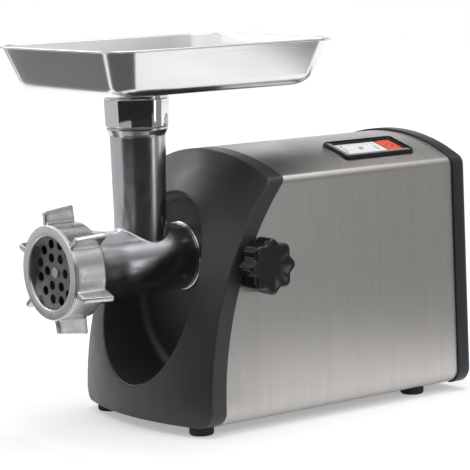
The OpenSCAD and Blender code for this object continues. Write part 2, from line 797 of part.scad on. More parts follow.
module gearcase_screws() {
    color("#8d9094") for (p = case_screw_spots) {
        rod_y(p[0], p[1], 1.8, case_front_y + 6, case_rear_y + 0.5);
        rod_y(p[0], p[1], 3.4, case_rear_y, case_rear_y + 1.8);
    }
}

// ---- motor ----
module rotor_shaft() {
    color("#b4b7ba") {
        rod_y(0, motor_h, shaft_r * 0.75, plane_1 - 1, case_rear_y);
        rod_y(0, motor_h, shaft_r, case_rear_y, motor_rear_y - 1.8);
    }
}
module rotor_core() {
    color("#6f7276") difference() {
        rod_y(0, motor_h, rotor_r, stator_front_y - 1, stator_rear_y + 1);
        rod_y(0, motor_h, shaft_r, 0, through);
        for (a = [0:30:359]) along_y(0, through) translate(motor_at) rotate(a)
            translate([rotor_r - 4, -1]) square([6, 2]);
    }
}
module commutator() {
    color("#b87345") difference() {
        rod_y(0, motor_h, commutator_r, commutator_front_y, commutator_front_y + commutator_l);
        rod_y(0, motor_h, shaft_r, 0, through);
    }
}
module cooling_fan() {
    color("#35363a") {
        difference() {
            rod_y(0, motor_h, fan_hub_r, fan_front_y, fan_front_y + fan_w);
            rod_y(0, motor_h, shaft_r, 0, through);
        }
        difference() {
            rod_y(0, motor_h, fan_r, fan_front_y, fan_front_y + 1.6);
            rod_y(0, motor_h, fan_hub_r - 1, 0, through);
        }
        for (a = [0:30:359]) along_y(fan_front_y + 1, fan_front_y + fan_w) translate(motor_at) rotate(a)
            translate([fan_hub_r + fan_blade_gap, -0.8]) rotate(18)
                square([fan_r - fan_hub_r - fan_blade_gap - 2, 1.6]);
    }
}
module motor_stator() {
    color("#6f7276") along_y(stator_front_y, stator_rear_y) difference() {
        intersection() {
            disc_at(motor_at, stator_r);
            translate([-38, motor_h - stator_r]) square([76, 2 * stator_r]);
        }
        disc_at(motor_at, rotor_r + air_gap);
        for (s = [-1, 1]) translate([s * 29, motor_h]) square([10, 40], center = true);
    }
}
module field_coils() {
    color("#a8643a") for (s = [-1, 1]) {
        along_y(stator_front_y - coil_l + 1, stator_rear_y + coil_l - 1)
            translate([s * 29, motor_h]) square([9.4, 39], center = true);
        for (y = [stator_front_y - coil_l + 1, stator_rear_y + 0.2])
            along_y(y, y + coil_l - 2) difference() {
                disc_at(motor_at, rotor_r + 12);
                disc_at(motor_at, rotor_r + 2);
                translate([-50 * s - 50 + s * winding_gap / 2, motor_h - 50]) square([100, 100]);
                translate([-50, motor_h - 8]) square([100, 16]);
            }
    }
}
module motor_frame_outline() {
    intersection() {
        disc_at(motor_at, stator_r);
        translate([-38, motor_h - stator_r]) square([76, 2 * stator_r]);
    }
}
module frame_posts(y0, y1) {
    for (x = [-1, 1], z = [-1, 1])
        rod_y(x * frame_post_at[0], motor_h + z * frame_post_at[1], frame_post_r, y0, y1);
}
module frame_vents() {
    for (a = [45:90:315])
        rod_y(frame_vent_ring_r * cos(a), motor_h + frame_vent_ring_r * sin(a), frame_vent_r, 0, through);
}
module motor_front_frame() {
    color("#b9bbbd") difference() {
        union() {
            along_y(motor_front_y, motor_front_y + frame_t) motor_frame_outline();
            frame_posts(motor_front_y, stator_front_y);
            rod_y(0, motor_h, bearing_r + 2, case_rear_y + seat_gap, motor_front_y + 1);
        }
        rod_y(0, motor_h, bearing_r, motor_front_y + frame_t - bearing_w + 3, through);
        rod_y(0, motor_h, shaft_r + 1, 0, through);
        frame_vents();
    }
}
module motor_rear_frame() {
    color("#b9bbbd") difference() {
        union() {
            along_y(motor_rear_y - frame_t, motor_rear_y) motor_frame_outline();
            frame_posts(stator_rear_y, motor_rear_y);
        }
        rod_y(0, motor_h, bearing_r, 0, motor_rear_y - 1.5);
        frame_vents();
    }
}
module motor_bearings() {
    color("#c9cbcd") for (y = [motor_front_y + frame_t - bearing_w + 3, motor_rear_y - bearing_w - 1.5])
        difference() {
            rod_y(0, motor_h, bearing_r - 0.03, y, y + bearing_w);
            rod_y(0, motor_h, shaft_r + run_gap, 0, through);
        }
}
module brush_holders() {
    y = commutator_front_y + commutator_l / 2;
    color("#b08d4a") for (s = [-1, 1]) difference() {
        box(min(s * 16, s * 36), max(s * 16, s * 36), y - 5, y + 5, motor_h - 5, motor_h + 5);
        box(min(s * 14, s * 34), max(s * 14, s * 34), y - 3.5, y + 3.5, motor_h - 3.5, motor_h + 3.5);
    }
    color("#b08d4a") for (s = [-1, 1])
        box(min(s * 22, s * 30), max(s * 22, s * 30),
            y + 5, motor_rear_y - frame_t, motor_h - 3, motor_h + 3);
}
module carbon_brushes() {
    y = commutator_front_y + commutator_l / 2;
    inner = commutator_r + 0.3;
    color("#303030") for (s = [-1, 1])
        box(min(s * inner, s * brush_end_x), max(s * inner, s * brush_end_x),
            y - 3.4, y + 3.4, motor_h - 3.4, motor_h + 3.4);
}
module motor_cradle() {
    floor_z = body_clear_h - 0.7 + base_t;
    rib_y = [stator_front_y + cradle_rib_w, stator_rear_y - 2 * cradle_rib_w];
    color("#202024") for (y = rib_y) difference() {
        box(-stator_r - 2, stator_r + 2, y, y + cradle_rib_w, floor_z, motor_h - 8);
        along_y(0, through) motor_frame_outline();
        box(-30, 30, 0, through, floor_z + 5, floor_z + 9);
    }
}

// ---- mains entry ----
module cord_gland() {
    color("#1d1d20") difference() {
        union() {
            rod_y(gland_at[0], gland_at[1], gland_r, rear_y - cover_t - 6, rear_y);
            rod_y(gland_at[0], gland_at[1], gland_r + 3, rear_y - cover_t - 6, rear_y - cover_t - seat_gap);
        }
        rod_y(gland_at[0], gland_at[1], cord_bore_r, 0, through);
    }
}
module terminal_block() {
    floor_z = body_clear_h - 0.7 + base_t;
    color("#e8e6df") box(-50, -32, rear_y - 50, rear_y - 26, floor_z, floor_z + 15);
}

// ---- lock knob ----
module lock_bush() {
    color("#b08d4a") difference() {
        intersection() {
            rod_x(lock_y, axis_h, lock_bush_r, sleeve_bore_r, lock_wall_x);
            along_y(0, 60) body_section(wrap_t + seat_gap);
        }
        rod_y(0, axis_h, sleeve_r + seat_gap, -20, 60);
        rod_x(lock_y, axis_h, bolt_r + run_gap, 0, 100);
    }
}
module lock_washer() {
    color("#161618") difference() {
        rod_x(lock_y, axis_h, washer_r, lock_wall_x - 1, knob_rear_x - move_gap);
        rod_x(lock_y, axis_h, bolt_r + move_gap, 0, 100);
        along_y(0, 60) body_section(-seat_gap);
    }
}
module lock_bolt() {
    color("#b4b7ba") {
        rod_x(lock_y, axis_h, bolt_r, keyway_x + 1.5, knob_rear_x + 12);
        translate([keyway_x + 0.3, lock_y, axis_h]) rotate([0, 90, 0])
            cylinder(r1 = bolt_r - 1.2, r2 = bolt_r, h = 1.2 + eps);
    }
}
module lock_knob() {
    swell = 1.7;
    color("#141416") difference() {
        translate([knob_rear_x, lock_y, axis_h]) rotate([90, 0, 90]) linear_extrude(knob_d)
            polygon([for (a = [0:5:359]) (knob_r - swell + swell * cos(knob_lobes * a)) * [cos(a), sin(a)]]);
        rod_x(lock_y, axis_h, bolt_r + run_gap, 0, knob_rear_x + 12.3);
    }
}

// ---- grinding head ----
module grinder_head() {
    spigot_r = tube_flare_r - 2.2;
    color("#b7b9bb") difference() {
        union() {
            rod_y(0, axis_h, barrel_r, -70, -move_gap);
            rod_y(0, axis_h, tail_r, -2, tail_l);
            cone_y(bell_neck_r, barrel_r, nut_rear_y + 2, -68);
            cone_y(bell_r - 0.6, bell_neck_r, nut_rear_y - 1, nut_rear_y + 2);
            rod_y(0, axis_h, bell_r, bell_front_y, nut_rear_y - 1);
            translate([0, tube_y, axis_h])
                cylinder(r1 = tube_low_r - 0.4, r2 = tube_top_r, h = tube_top_h - tube_flare_l - axis_h);
            translate([0, tube_y, tube_top_h - tube_flare_l - 1])
                cylinder(r1 = tube_top_r, r2 = tube_flare_r, h = tube_flare_l - 1);
            translate([0, tube_y, tube_top_h - 2]) cylinder(r = tube_flare_r, h = 2);
            translate([0, tube_y, tube_top_h - 1]) cylinder(r = spigot_r, h = spigot_l + 1);
        }
        rod_y(0, axis_h, plate_r + run_gap, bell_front_y - 1, bell_floor_y);
        rod_y(0, axis_h, barrel_bore_r, bell_floor_y - 1, bore_rear_y);
        rod_y(0, axis_h, 11.03, bore_rear_y + 2, tail_l + 1);
        rod_y(0, axis_h, shank_r + 2, bore_rear_y - 1, tail_l + 1);
        translate([0, tube_y, axis_h]) cylinder(r = throat_r, h = 200);
        box(keyway_x, 60, lock_y - bolt_r - 2, tail_l + 1, axis_h - keyway_w / 2, axis_h + keyway_w / 2);
        rod_y(0, axis_h - plate_r + 0.4, 2, bell_front_y + eps, bell_front_y + 8);
    }
}
module head_bush() {
    color("#b08d4a") difference() {
        rod_y(0, axis_h, 11, bore_rear_y + 2, tail_l - 0.5);
        rod_y(0, axis_h, shank_r + run_gap, -50, 100);
    }
}
module thrust_washer() {
    color("#e9e6dc") difference() {
        rod_y(0, axis_h, 16, bore_rear_y - washer_t, bore_rear_y);
        rod_y(0, axis_h, shank_r + move_gap, -50, 100);
    }
}
module auger() {
    flight_l = flight_rear_y - bell_floor_y - 4;
    color("#c4c6c8") difference() {
        union() {
            rod_y(0, axis_h, auger_core_r, bell_floor_y + 2, flight_rear_y);
            rod_y(0, axis_h, shank_r, flight_rear_y - 1, coupling_front_y);
            rod_y(0, axis_h, 5, coupling_front_y - 1, coupling_rear_y - 2);
            rod_y(0, axis_h, stud_r, plate_front_y - 1.5, knife_front_y);
            along_y(knife_front_y, bell_floor_y + 3) translate(output_at)
                square(knife_square, center = true);
            translate([0, flight_rear_y - 1, axis_h]) rotate([90, 0, 0])
                linear_extrude(flight_l, twist = -360 * flight_l / auger_pitch, slices = 48, $fn = 12)
                    polygon([[0, -3.2], [flight_r - 1, -1.6], [flight_r, -1.2], [flight_r, 1.2],
                        [flight_r - 1, 1.6], [0, 3.2]]);
        }
        rod_y(0, axis_h, 1.6, coupling_rear_y - 14, coupling_rear_y + 9);
    }
}
module drive_coupling() {
    color("#d9d5c8") difference() {
        union() {
            rod_y(0, axis_h, 10.5, coupling_front_y, coupling_front_y + coupling_flange_t);
            along_y(coupling_front_y, coupling_rear_y) translate(output_at) circle(hex_r, $fn = 6);
        }
        rod_y(0, axis_h, 5.03, 0, 100);
    }
}
module coupling_screw() {
    color("#8d9094") {
        rod_y(0, axis_h, 1.5, coupling_rear_y - 13, coupling_rear_y);
        rod_y(0, axis_h, 5.6, coupling_rear_y, coupling_rear_y + 2.4);
    }
}
module knife() {
    color("#c9cbcd") difference() {
        union() {
            rod_y(0, axis_h, 11, knife_front_y, knife_rear_y);
            for (a = [0:90:359]) translate([0, 0, axis_h]) rotate([0, a + 20, 0])
                linear_extrude(knife_r) polygon([
                    [-4.5, knife_front_y], [4.5, knife_front_y],
                    [0.5, knife_rear_y], [-4.5, knife_rear_y]]);
        }
        along_y(-200, 0) translate(output_at) square(knife_square + 2 * 0.05, center = true);
    }
}
module plate_hole(r, a) {
    rod_y(r * cos(a), axis_h + r * sin(a), plate_hole_r, -200, 0);
}
module cutting_plate() {
    color("#8b8d8f") difference() {
        rod_y(0, axis_h, plate_r, plate_front_y, plate_rear_y);
        for (a = [0:60:359]) plate_hole(plate_inner_r, a);
        for (a = [15:30:359]) plate_hole(plate_outer_r, a);
        rod_y(0, axis_h, stud_r + run_gap, -200, 0);
        rod_y(0, axis_h - plate_r + 0.4, 2.4, -200, 0);
    }
}
module plate_key() {
    color("#b4b7ba") intersection() {
        rod_y(0, axis_h - plate_r + 0.4, 1.95, plate_rear_y - 3.5, bell_front_y + 7.5);
        rod_y(0, axis_h, plate_r - 0.2, -200, 0);
    }
}
module nut_profile() {
    r_in = bell_r + move_gap;
    polygon([[nut_mouth_r + 1, nut_front_y], [nut_r - 1, nut_front_y], [nut_r, nut_front_y + 1],
        [nut_r, nut_rear_y], [r_in, nut_rear_y], [r_in, plate_front_y], [nut_mouth_r, plate_front_y],
        [nut_mouth_r, nut_front_y + 1]]);
}
module nut_wing() {
    root = bell_r + 1.6;
    linear_extrude(wing_t) polygon([
        [nut_front_y + 1.6, root], [nut_front_y + 1.6, nut_r + wing_front_h - 1],
        [nut_front_y + 2.8, nut_r + wing_front_h], [nut_rear_y - 1.4, nut_r + wing_rear_h],
        [nut_rear_y - 0.4, nut_r + wing_rear_h - 1], [nut_rear_y - 0.4, root]]);
}
module ring_nut() {
    color("#c4c6c8") translate([0, 0, axis_h]) {
        rotate([-90, 0, 0]) rotate_extrude() nut_profile();
        for (k = [0:5]) rotate([0, -wing_turn - 60 * k, 0]) rotate([90, 0, 90])
            translate([0, 0, -wing_t / 2]) nut_wing();
    }
}

// ---- tray ----
// a thin slab with the plan of the tray, inset all round
module tray_slab(inset, z) {
    r = max(tray_corner_r - tray_corner_fade * inset, 3);
    x = tray_w / 2 - inset - r;
    y = tray_len / 2 - inset - r;
    translate([0, tray_mid_y, z]) for (sx = [-1, 1], sy = [-1, 1])
        translate([sx * x, sy * y, 0]) cylinder(r = r, h = 0.2, $fn = 32);
}
module tray_form(grow) {
    wall_in = tray_rim_w - grow;
    bend = tray_bend - tray_t + grow;
    hull() {
        tray_slab(wall_in, tray_rim_h - 0.2);
        for (a = [0:15:90]) tray_slab(wall_in + tray_lean + bend * (1 - cos(a)),
            tray_floor_h + tray_bend - bend * sin(a));
    }
}
module tray() {
    color("#bfc0c1") difference() {
        union() {
            tray_form(tray_t);
            hull() {
                tray_slab(0, tray_rim_h - 0.6);
                tray_slab(0.4, tray_rim_h - 0.2);
                tray_slab(0.4, tray_rim_h - 1.8);
            }
        }
        hull() {
            tray_form(0);
            tray_slab(tray_rim_w - 0.4, tray_rim_h + 1);
        }
        translate([0, tube_y, 0]) cylinder(r = throat_r + 2.5, h = tray_rim_h + 1);
    }
}
module tray_neck() {
    spigot_r = tube_flare_r - 2.2;
    top = tray_floor_h - seat_gap;
    color("#c9cbcd") difference() {
        union() {
            translate([0, tube_y, tube_top_h + move_gap]) cylinder(r1 = neck_low_r, r2 = neck_top_r, h = 22);
            translate([0, tube_y, tube_top_h + 22]) cylinder(r1 = neck_top_r - 0.6, r2 = neck_top_r - 1.4,
                h = top - tube_top_h - 22);
            translate([0, tube_y, top - 1]) cylinder(r = throat_r + 2.4, h = 3.4);
            translate([0, tube_y, tray_floor_h + tray_t + seat_gap]) cylinder(r = throat_r + 4.4, h = 1);
        }
        translate([0, tube_y, 0]) cylinder(r = spigot_r + run_gap, h = tube_top_h + spigot_l + move_gap);
        translate([0, tube_y, 0]) cylinder(r = throat_r, h = tray_rim_h + 1);
    }
}

place() front_cover();
place() socket_sleeve();
place() steel_wrap();
place() rear_cover();
place() base_plate();
place() feet();
place() foot_screws();
place() cover_screws();
place() switch_bezel();
place() switch_housing();
place() rocker();
place() reverse_key();
place() key_switch();
place() control_board();
place() gearcase_front();
place() gearcase_rear();
place() gearcase_screws();
place() gear_pins();
place() output_bush();
place() output_rear_bush();
place() output_shaft();
place() output_gear();
place() gear_a();
place() gear_b();
place() motor_pinion();
place() rotor_shaft();
place() rotor_core();
place() commutator();
place() cooling_fan();
place() motor_stator();
place() field_coils();
place() motor_front_frame();
place() motor_rear_frame();
place() motor_bearings();
place() brush_holders();
place() carbon_brushes();
place() motor_cradle();
place() cord_gland();
place() terminal_block();
place() lock_bush();
place() lock_washer();
place() lock_bolt();
place() lock_knob();
place() grinder_head();
place() head_bush();
place() thrust_washer();
place() auger();
place() drive_coupling();
place() coupling_screw();
place() knife();
place() cutting_plate();
place() plate_key();
place() ring_nut();
place() tray();
place() tray_neck();
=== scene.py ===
# %% [markdown]
# # An electric meat grinder
#
# This lesson dresses a imported CAD model of a kitchen meat grinder: a steel-wrapped motor
# body, a cast grinding head with a winged ring nut, a stamped food tray and a side lock knob.
# The CAD model is the fixed frame. Most visible pieces get a smooth mesh of their own in the
# same place, and ride on the body that carries them, so every joint still works.

# %% Load the frame
import json
import math

import bmesh
import bpy
from mathutils import Matrix, Vector


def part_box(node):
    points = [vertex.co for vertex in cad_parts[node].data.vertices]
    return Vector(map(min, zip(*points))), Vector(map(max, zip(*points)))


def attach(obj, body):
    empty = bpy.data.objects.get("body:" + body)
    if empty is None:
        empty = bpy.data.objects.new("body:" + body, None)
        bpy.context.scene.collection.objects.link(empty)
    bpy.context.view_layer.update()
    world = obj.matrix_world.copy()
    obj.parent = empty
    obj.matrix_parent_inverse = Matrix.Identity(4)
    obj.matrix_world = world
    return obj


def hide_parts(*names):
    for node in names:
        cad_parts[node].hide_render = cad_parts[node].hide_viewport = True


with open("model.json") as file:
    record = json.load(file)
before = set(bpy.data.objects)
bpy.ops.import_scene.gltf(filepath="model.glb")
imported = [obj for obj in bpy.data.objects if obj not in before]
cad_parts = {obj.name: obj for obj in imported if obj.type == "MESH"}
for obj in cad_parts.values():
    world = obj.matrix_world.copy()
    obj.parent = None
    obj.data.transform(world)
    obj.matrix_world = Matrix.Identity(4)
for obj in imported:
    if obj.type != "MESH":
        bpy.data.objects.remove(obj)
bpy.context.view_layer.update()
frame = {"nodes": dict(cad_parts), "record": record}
print("CAD nodes:", len(frame["nodes"]))

# %% [markdown]
# ## One datum for every size
#
# A maker measures such a machine in millimetres from a few faces that matter. Here they are
# the middle of the body, the mouth of the socket that takes the head, and the table. The
# cutting plate gives the grinding axis, so the numbers below follow the CAD wherever it sits.

# %% The datum, read from the frame
MM = 0.001
plate_low, plate_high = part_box("cutting_plate")
MIDDLE_X = (plate_low.x + plate_high.x) / 2 / MM
MOUTH_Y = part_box("socket_sleeve")[0].y / MM
AXIS_H = (plate_low.z + plate_high.z) / 2 / MM


def at(x, y, z):
    """A point in mm from the datum, as metres in the frame."""
    return Vector(((MIDDLE_X + x) * MM, (MOUTH_Y + y) * MM, z * MM))


def span(node, axis):
    """The lowest and highest place of a CAD node along an axis, in mm from the datum."""
    low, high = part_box(node)
    shift = {"x": MIDDLE_X, "y": MOUTH_Y, "z": 0}[axis]
    return getattr(low, axis) / MM - shift, getattr(high, axis) / MM - shift


print("grinding axis is", round(AXIS_H, 2), "mm above the table")

# %% [markdown]
# ## Skins made of rings
#
# Nearly every piece here is a skin stretched over a row of rings: a turned bush, a winged
# nut, a tray, a bulged cover. Each ring has the same number of points, so neighbouring rings
# join with four-sided faces. That gives clean reflections, which a boolean mesh seldom does.
# The helper also writes a UV map in metres along and across the rings, for brushed grain.

# %% Stretch a skin over rings
SHARP = math.radians(32)
WELD = 0.0005


def running_length(points):
    """Distance along a line of points, from 0 at the first."""
    total, out = 0.0, [0.0]
    for a, b in zip(points, points[1:]):
        total += (b - a).length
        out.append(total)
    return out


def as_piece(name, bm):
    """An object from finished faces, smooth but with crisp edges where it turns sharply."""
    bmesh.ops.recalc_face_normals(bm, faces=bm.faces)
    mesh = bpy.data.meshes.new(name)
    bm.to_mesh(mesh)
    bm.free()
    mesh.shade_smooth()
    mesh.set_sharp_from_angle(angle=SHARP)
    piece = bpy.data.objects.new(name, mesh)
    bpy.context.scene.collection.objects.link(piece)
    return piece


def skin(name, rings, around=True, loop=False, skip=None, caps=()):
    """A mesh object over rings of points in mm. skip(row, column) leaves a face out."""
    rows = [[at(*p) for p in ring] for ring in rings]
    wide, tall = len(rows[0]), len(rows)
    bm = bmesh.new()
    uv = bm.loops.layers.uv.new("UVMap")
    verts = [[bm.verts.new(p) for p in row] for row in rows]
    across = [running_length(row + row[:1]) for row in rows]
    down = running_length([row[0] for row in rows] + [rows[0][0]])
    for r in range(tall if loop else tall - 1):
        for c in range(wide if around else wide - 1):
            if skip and skip(r, c):
                continue
            r2, c2 = (r + 1) % tall, (c + 1) % wide
            corners = [(r, c, r, c), (r, c2, r, c + 1)]
            corners += [(r2, c2, r + 1, c + 1), (r2, c, r + 1, c)]
            face = bm.faces.new([verts[k[0]][k[1]] for k in corners])
            for corner, k in zip(face.loops, corners):
                corner[uv].uv = (across[k[0]][k[3]], down[k[2]])
    for end in caps:
        bm.faces.new(verts[end])
    bmesh.ops.remove_doubles(bm, verts=bm.verts, dist=WELD * MM)
    bmesh.ops.dissolve_degenerate(bm, edges=bm.edges, dist=WELD * MM)
    return as_piece(name, bm)


# %% [markdown]
# ## From a thin skin to real walls
#
# A pressed sheet or a moulded cover is a skin with a wall thickness. The Solidify modifier
# gives it one, as long as the faces point outwards first. Slots and holes come from Boolean
# modifiers. Both are applied at once, so that the piece is one plain mesh in the end.


# %% Walls, holes and dressing
def face_away(piece, x, y, z):
    """Turns the faces of an open skin away from a point inside it."""
    heart = at(x, y, z)
    away = sum(f.area * ((f.center - heart).dot(f.normal) > 0) for f in piece.data.polygons)
    if away < sum(f.area for f in piece.data.polygons) / 2:
        piece.data.flip_normals()


def wall(piece, thickness):
    """Gives an open skin its wall, grown inwards."""
    mod = piece.modifiers.new("wall", "SOLIDIFY")
    mod.thickness, mod.offset = thickness * MM, -1


def settle(piece, cutters=()):
    """Applies the piece's modifiers, with a hole for each cutter, and removes the cutters."""
    for cutter in cutters:
        mod = piece.modifiers.new("hole", "BOOLEAN")
        mod.operation, mod.solver, mod.object = "DIFFERENCE", "EXACT", cutter
    graph = bpy.context.evaluated_depsgraph_get()
    old = piece.data
    piece.data = bpy.data.meshes.new_from_object(piece.evaluated_get(graph), depsgraph=graph)
    piece.modifiers.clear()
    piece.data.name = piece.name
    bpy.data.meshes.remove(old)
    piece.data.shade_smooth()
    piece.data.set_sharp_from_angle(angle=SHARP)
    for cutter in cutters:
        bpy.data.objects.remove(cutter)


def dress(piece, body, finish, nodes=()):
    """Paints a piece, lets it ride on a body and lets it stand for CAD nodes."""
    piece.data.materials.clear()
    piece.data.materials.append(finish)
    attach(piece, body)
    if nodes:
        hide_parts(*nodes)
    print(piece.name, "rides on", body, "with", len(piece.data.polygons), "faces")
    return piece


# %% [markdown]
# ## Curves that the rings need
#
# Rings are circles, rounded rectangles or outlines with rounded corners. A few small
# functions make them: an arc, a quarter round for an edge, a rounded corner between two
# lines, and a ring turned about an axis. Sizes are in millimetres and angles in degrees.


# %% Arcs, corners and turned rings
QUARTER = [math.radians(15 * k) for k in range(7)]


def polar(r, degrees):
    """A point at radius r and an angle, round the origin."""
    turn = math.radians(degrees)
    return r * math.cos(turn), r * math.sin(turn)


def arc(cx, cy, r, start, end, steps):
    """Points of an arc, both ends included."""
    spots = [polar(r, start + (end - start) * k / steps) for k in range(steps + 1)]
    return [(cx + x, cy + y) for x, y in spots]


def edge_roll(r):
    """A quarter round for a softened edge: the first number grows as the second shrinks."""
    return [(r * (1 - math.cos(t)), r * (1 - math.sin(t))) for t in QUARTER]


def corner_arcs(half_x, half_y, r, steps):
    """The four corner arcs of a rounded rectangle round the origin."""
    signs = [(1, 1), (-1, 1), (-1, -1), (1, -1)]
    return [
        arc(sx * (half_x - r), sy * (half_y - r), r, 90 * k, 90 * k + 90, steps)
        for k, (sx, sy) in enumerate(signs)
    ]


def rounded(path, radii, steps=5):
    """An open path of 2-D points with each inner corner rounded to its radius."""
    out = [path[0]]
    for p, q, s, r in zip(path, path[1:], path[2:], radii):
        a, b, c = Vector(p), Vector(q), Vector(s)
        to_a, to_c = (a - b).normalized(), (c - b).normalized()
        half = to_a.angle(to_c) / 2
        if r <= 0 or half > math.pi / 2 - 0.01:
            out.append(q)
            continue
        heart = b + (to_a + to_c).normalized() * (r / math.sin(half))
        reach = r / math.tan(half)
        first, last = b + to_a * reach - heart, b + to_c * reach - heart
        turn = first.angle_signed(last)
        for k in range(steps + 1):
            t = turn * k / steps
            swing = Matrix.Rotation(-t, 2)
            out.append(tuple(heart + swing @ first))
    return out + [path[-1]]


def circle_angles(steps):
    """Evenly spread angles round a full turn."""
    return [360 * k / steps for k in range(steps)]


def turned(profile, axis, centre, steps=72):
    """Rings of a turned piece: the profile is (radius, place along the axis) in mm."""
    rings = []
    for r, s in profile:
        ring = []
        for a in circle_angles(steps):
            u, v = polar(r, a)
            x, y, z = {"x": (s, u, v), "y": (u, s, v), "z": (u, v, s)}[axis]
            ring.append((centre[0] + x, centre[1] + y, centre[2] + z))
        rings.append(ring)
    return rings


def rod(name, axis, centre, r, start, end):
    """A plain rod, used only as a cutter."""
    return skin(name, turned([(r, start), (r, end)], axis, centre, 40), caps=(0, -1))


def block(name, low, high):
    """A plain block, used only as a cutter."""
    ring = [(low[0], low[1]), (high[0], low[1]), (high[0], high[1]), (low[0], high[1])]
    return skin(name, [[(x, y, z) for x, y in ring] for z in (low[2], high[2])], caps=(0, -1))


# %% [markdown]
# ## Finishes
#
# A finish is one Principled shader with noise wired into its colour, its roughness and its
# relief. Real surfaces are never one flat value: steel has drawn grain, castings have a
# soft waviness, moulded plastic has a fine spark texture. The class below keeps each of
# those steps to one line. A value that is the same all over stays on the shader's own socket.


# %% A small workbench for finishes
def remap(nodes, links, value, source, target):
    """A value carried over from one range to another by a Map Range node."""
    node = nodes.new("ShaderNodeMapRange")
    sockets = ("From Min", "From Max", "To Min", "To Max")
    for socket, number in zip(sockets, (*source, *target)):
        node.inputs[socket].default_value = number
    links.new(value, node.inputs["Value"])
    return node.outputs["Result"]


NOISE_RANGE = (0.3, 0.7)


class Finish:
    """A Principled shader, with noise patterns wired into it step by step."""

    def __init__(self, name, metallic=0.0, **sockets):
        self.material = bpy.data.materials.new(name)
        self.material.use_nodes = True
        self.nodes, self.links = self.material.node_tree.nodes, self.material.node_tree.links
        self.shader = self.nodes["Principled BSDF"]
        self.shader.inputs["Metallic"].default_value = metallic
        for socket, value in sockets.items():
            self.shader.inputs[socket.replace("_", " ")].default_value = value
        self.normal = None

    def noise(self, stretch, detail, coords="Object"):
        """Noise whose grain is 1 / stretch metres long along each coordinate."""
        place = self.nodes.new("ShaderNodeTexCoord")
        mapping = self.nodes.new("ShaderNodeMapping")
        mapping.inputs["Scale"].default_value = stretch
        texture = self.nodes.new("ShaderNodeTexNoise")
        texture.inputs["Scale"].default_value = 1.0
        texture.inputs["Detail"].default_value = detail
        texture.inputs["Roughness"].default_value = 0.5
        self.links.new(place.outputs[coords], mapping.inputs["Vector"])
        self.links.new(mapping.outputs["Vector"], texture.inputs["Vector"])
        return texture.outputs["Fac"]

    def between(self, pattern, low, high):
        """The pattern's useful range spread over low to high."""
        return remap(self.nodes, self.links, pattern, NOISE_RANGE, (low, high))

    def colour(self, pattern, dark, light):
        """Two close colours mixed by the pattern."""
        mix = self.nodes.new("ShaderNodeMix")
        mix.data_type = "RGBA"
        mix.inputs["A"].default_value = (*dark, 1)
        mix.inputs["B"].default_value = (*light, 1)
        self.links.new(self.between(pattern, 0, 1), mix.inputs["Factor"])
        self.links.new(mix.outputs["Result"], self.shader.inputs["Base Color"])

    def roughness(self, pattern, low, high):
        """Roughness that wanders between two values."""
        self.links.new(self.between(pattern, low, high), self.shader.inputs["Roughness"])

    def relief(self, pattern, depth):
        """Relief of a depth in mm. A second call lies on top of the first."""
        bump = self.nodes.new("ShaderNodeBump")
        bump.inputs["Strength"].default_value = 1.0
        bump.inputs["Distance"].default_value = depth * MM
        self.links.new(pattern, bump.inputs["Height"])
        if self.normal:
            self.links.new(self.normal, bump.inputs["Normal"])
        self.normal = bump.outputs["Normal"]
        self.links.new(self.normal, self.shader.inputs["Normal"])


# %% [markdown]
# ## Sheet steel
#
# The wrap is stainless sheet, ground with a belt before it is bent, so its grain runs up the
# sides and over the roof. The tray is drawn from thinner sheet whose grain runs round the
# walls. Both use the UV map, because grain follows the sheet round a bend. The neck ring and
# the socket ring are buffed to a mirror, with only faint swirls left.

# %% Brushed wrap, satin tray, buffed rings
wrap_steel = Finish("brushed_wrap_steel", 1.0, Anisotropic=0.45)
grain = wrap_steel.noise((14, 2600, 1), 4, "UV")
patches = wrap_steel.noise((5, 120, 1), 2, "UV")
wrap_steel.colour(patches, (0.495, 0.478, 0.460), (0.525, 0.508, 0.490))
wrap_steel.roughness(grain, 0.27, 0.39)
wrap_steel.relief(grain, 0.002)

tray_steel = Finish("satin_tray_steel", 1.0, Anisotropic=0.3)
grain = tray_steel.noise((10, 2200, 1), 4, "UV")
patches = tray_steel.noise((12, 30, 1), 2, "UV")
tray_steel.colour(patches, (0.74, 0.74, 0.75), (0.80, 0.80, 0.81))
tray_steel.roughness(grain, 0.13, 0.24)
tray_steel.relief(grain, 0.0006)

buffed_steel = Finish("buffed_ring_steel", 1.0)
swirl = buffed_steel.noise((260, 260, 900), 5)
buffed_steel.colour(swirl, (0.74, 0.745, 0.75), (0.80, 0.80, 0.81))
buffed_steel.roughness(swirl, 0.035, 0.085)
buffed_steel.relief(swirl, 0.0015)

# %% [markdown]
# ## Castings
#
# The head is cast aluminium, polished by hand: bright, but with a slow waviness that bends
# the reflections. The ring nut is only tumbled, so it is satin with a fine skin. The parts
# inside the body stay as cast. One helper makes all three, from a few numbers.


# %% Polished, satin and rough castings
def casting(name, dark, light, rough, wave, grit):
    """Aluminium with a slow wave and a fine grit, both given as a depth in mm."""
    cast = Finish(name, 1.0)
    slow = cast.noise((45, 45, 45), 2)
    fine = cast.noise((1500, 1500, 1500), 3)
    cast.colour(slow, dark, light)
    cast.roughness(cast.noise((110, 110, 110), 4), *rough)
    cast.relief(slow, wave)
    cast.relief(fine, grit)
    return cast


polished_cast = casting(
    "polished_cast_alloy", (0.60, 0.605, 0.63), (0.66, 0.665, 0.69), (0.20, 0.27), 0.05, 0.004
)
satin_cast = casting(
    "satin_cast_alloy", (0.72, 0.72, 0.725), (0.79, 0.79, 0.795), (0.25, 0.34), 0.03, 0.0005
)
raw_cast = casting(
    "raw_cast_alloy", (0.48, 0.485, 0.49), (0.58, 0.585, 0.59), (0.42, 0.58), 0.1, 0.05
)

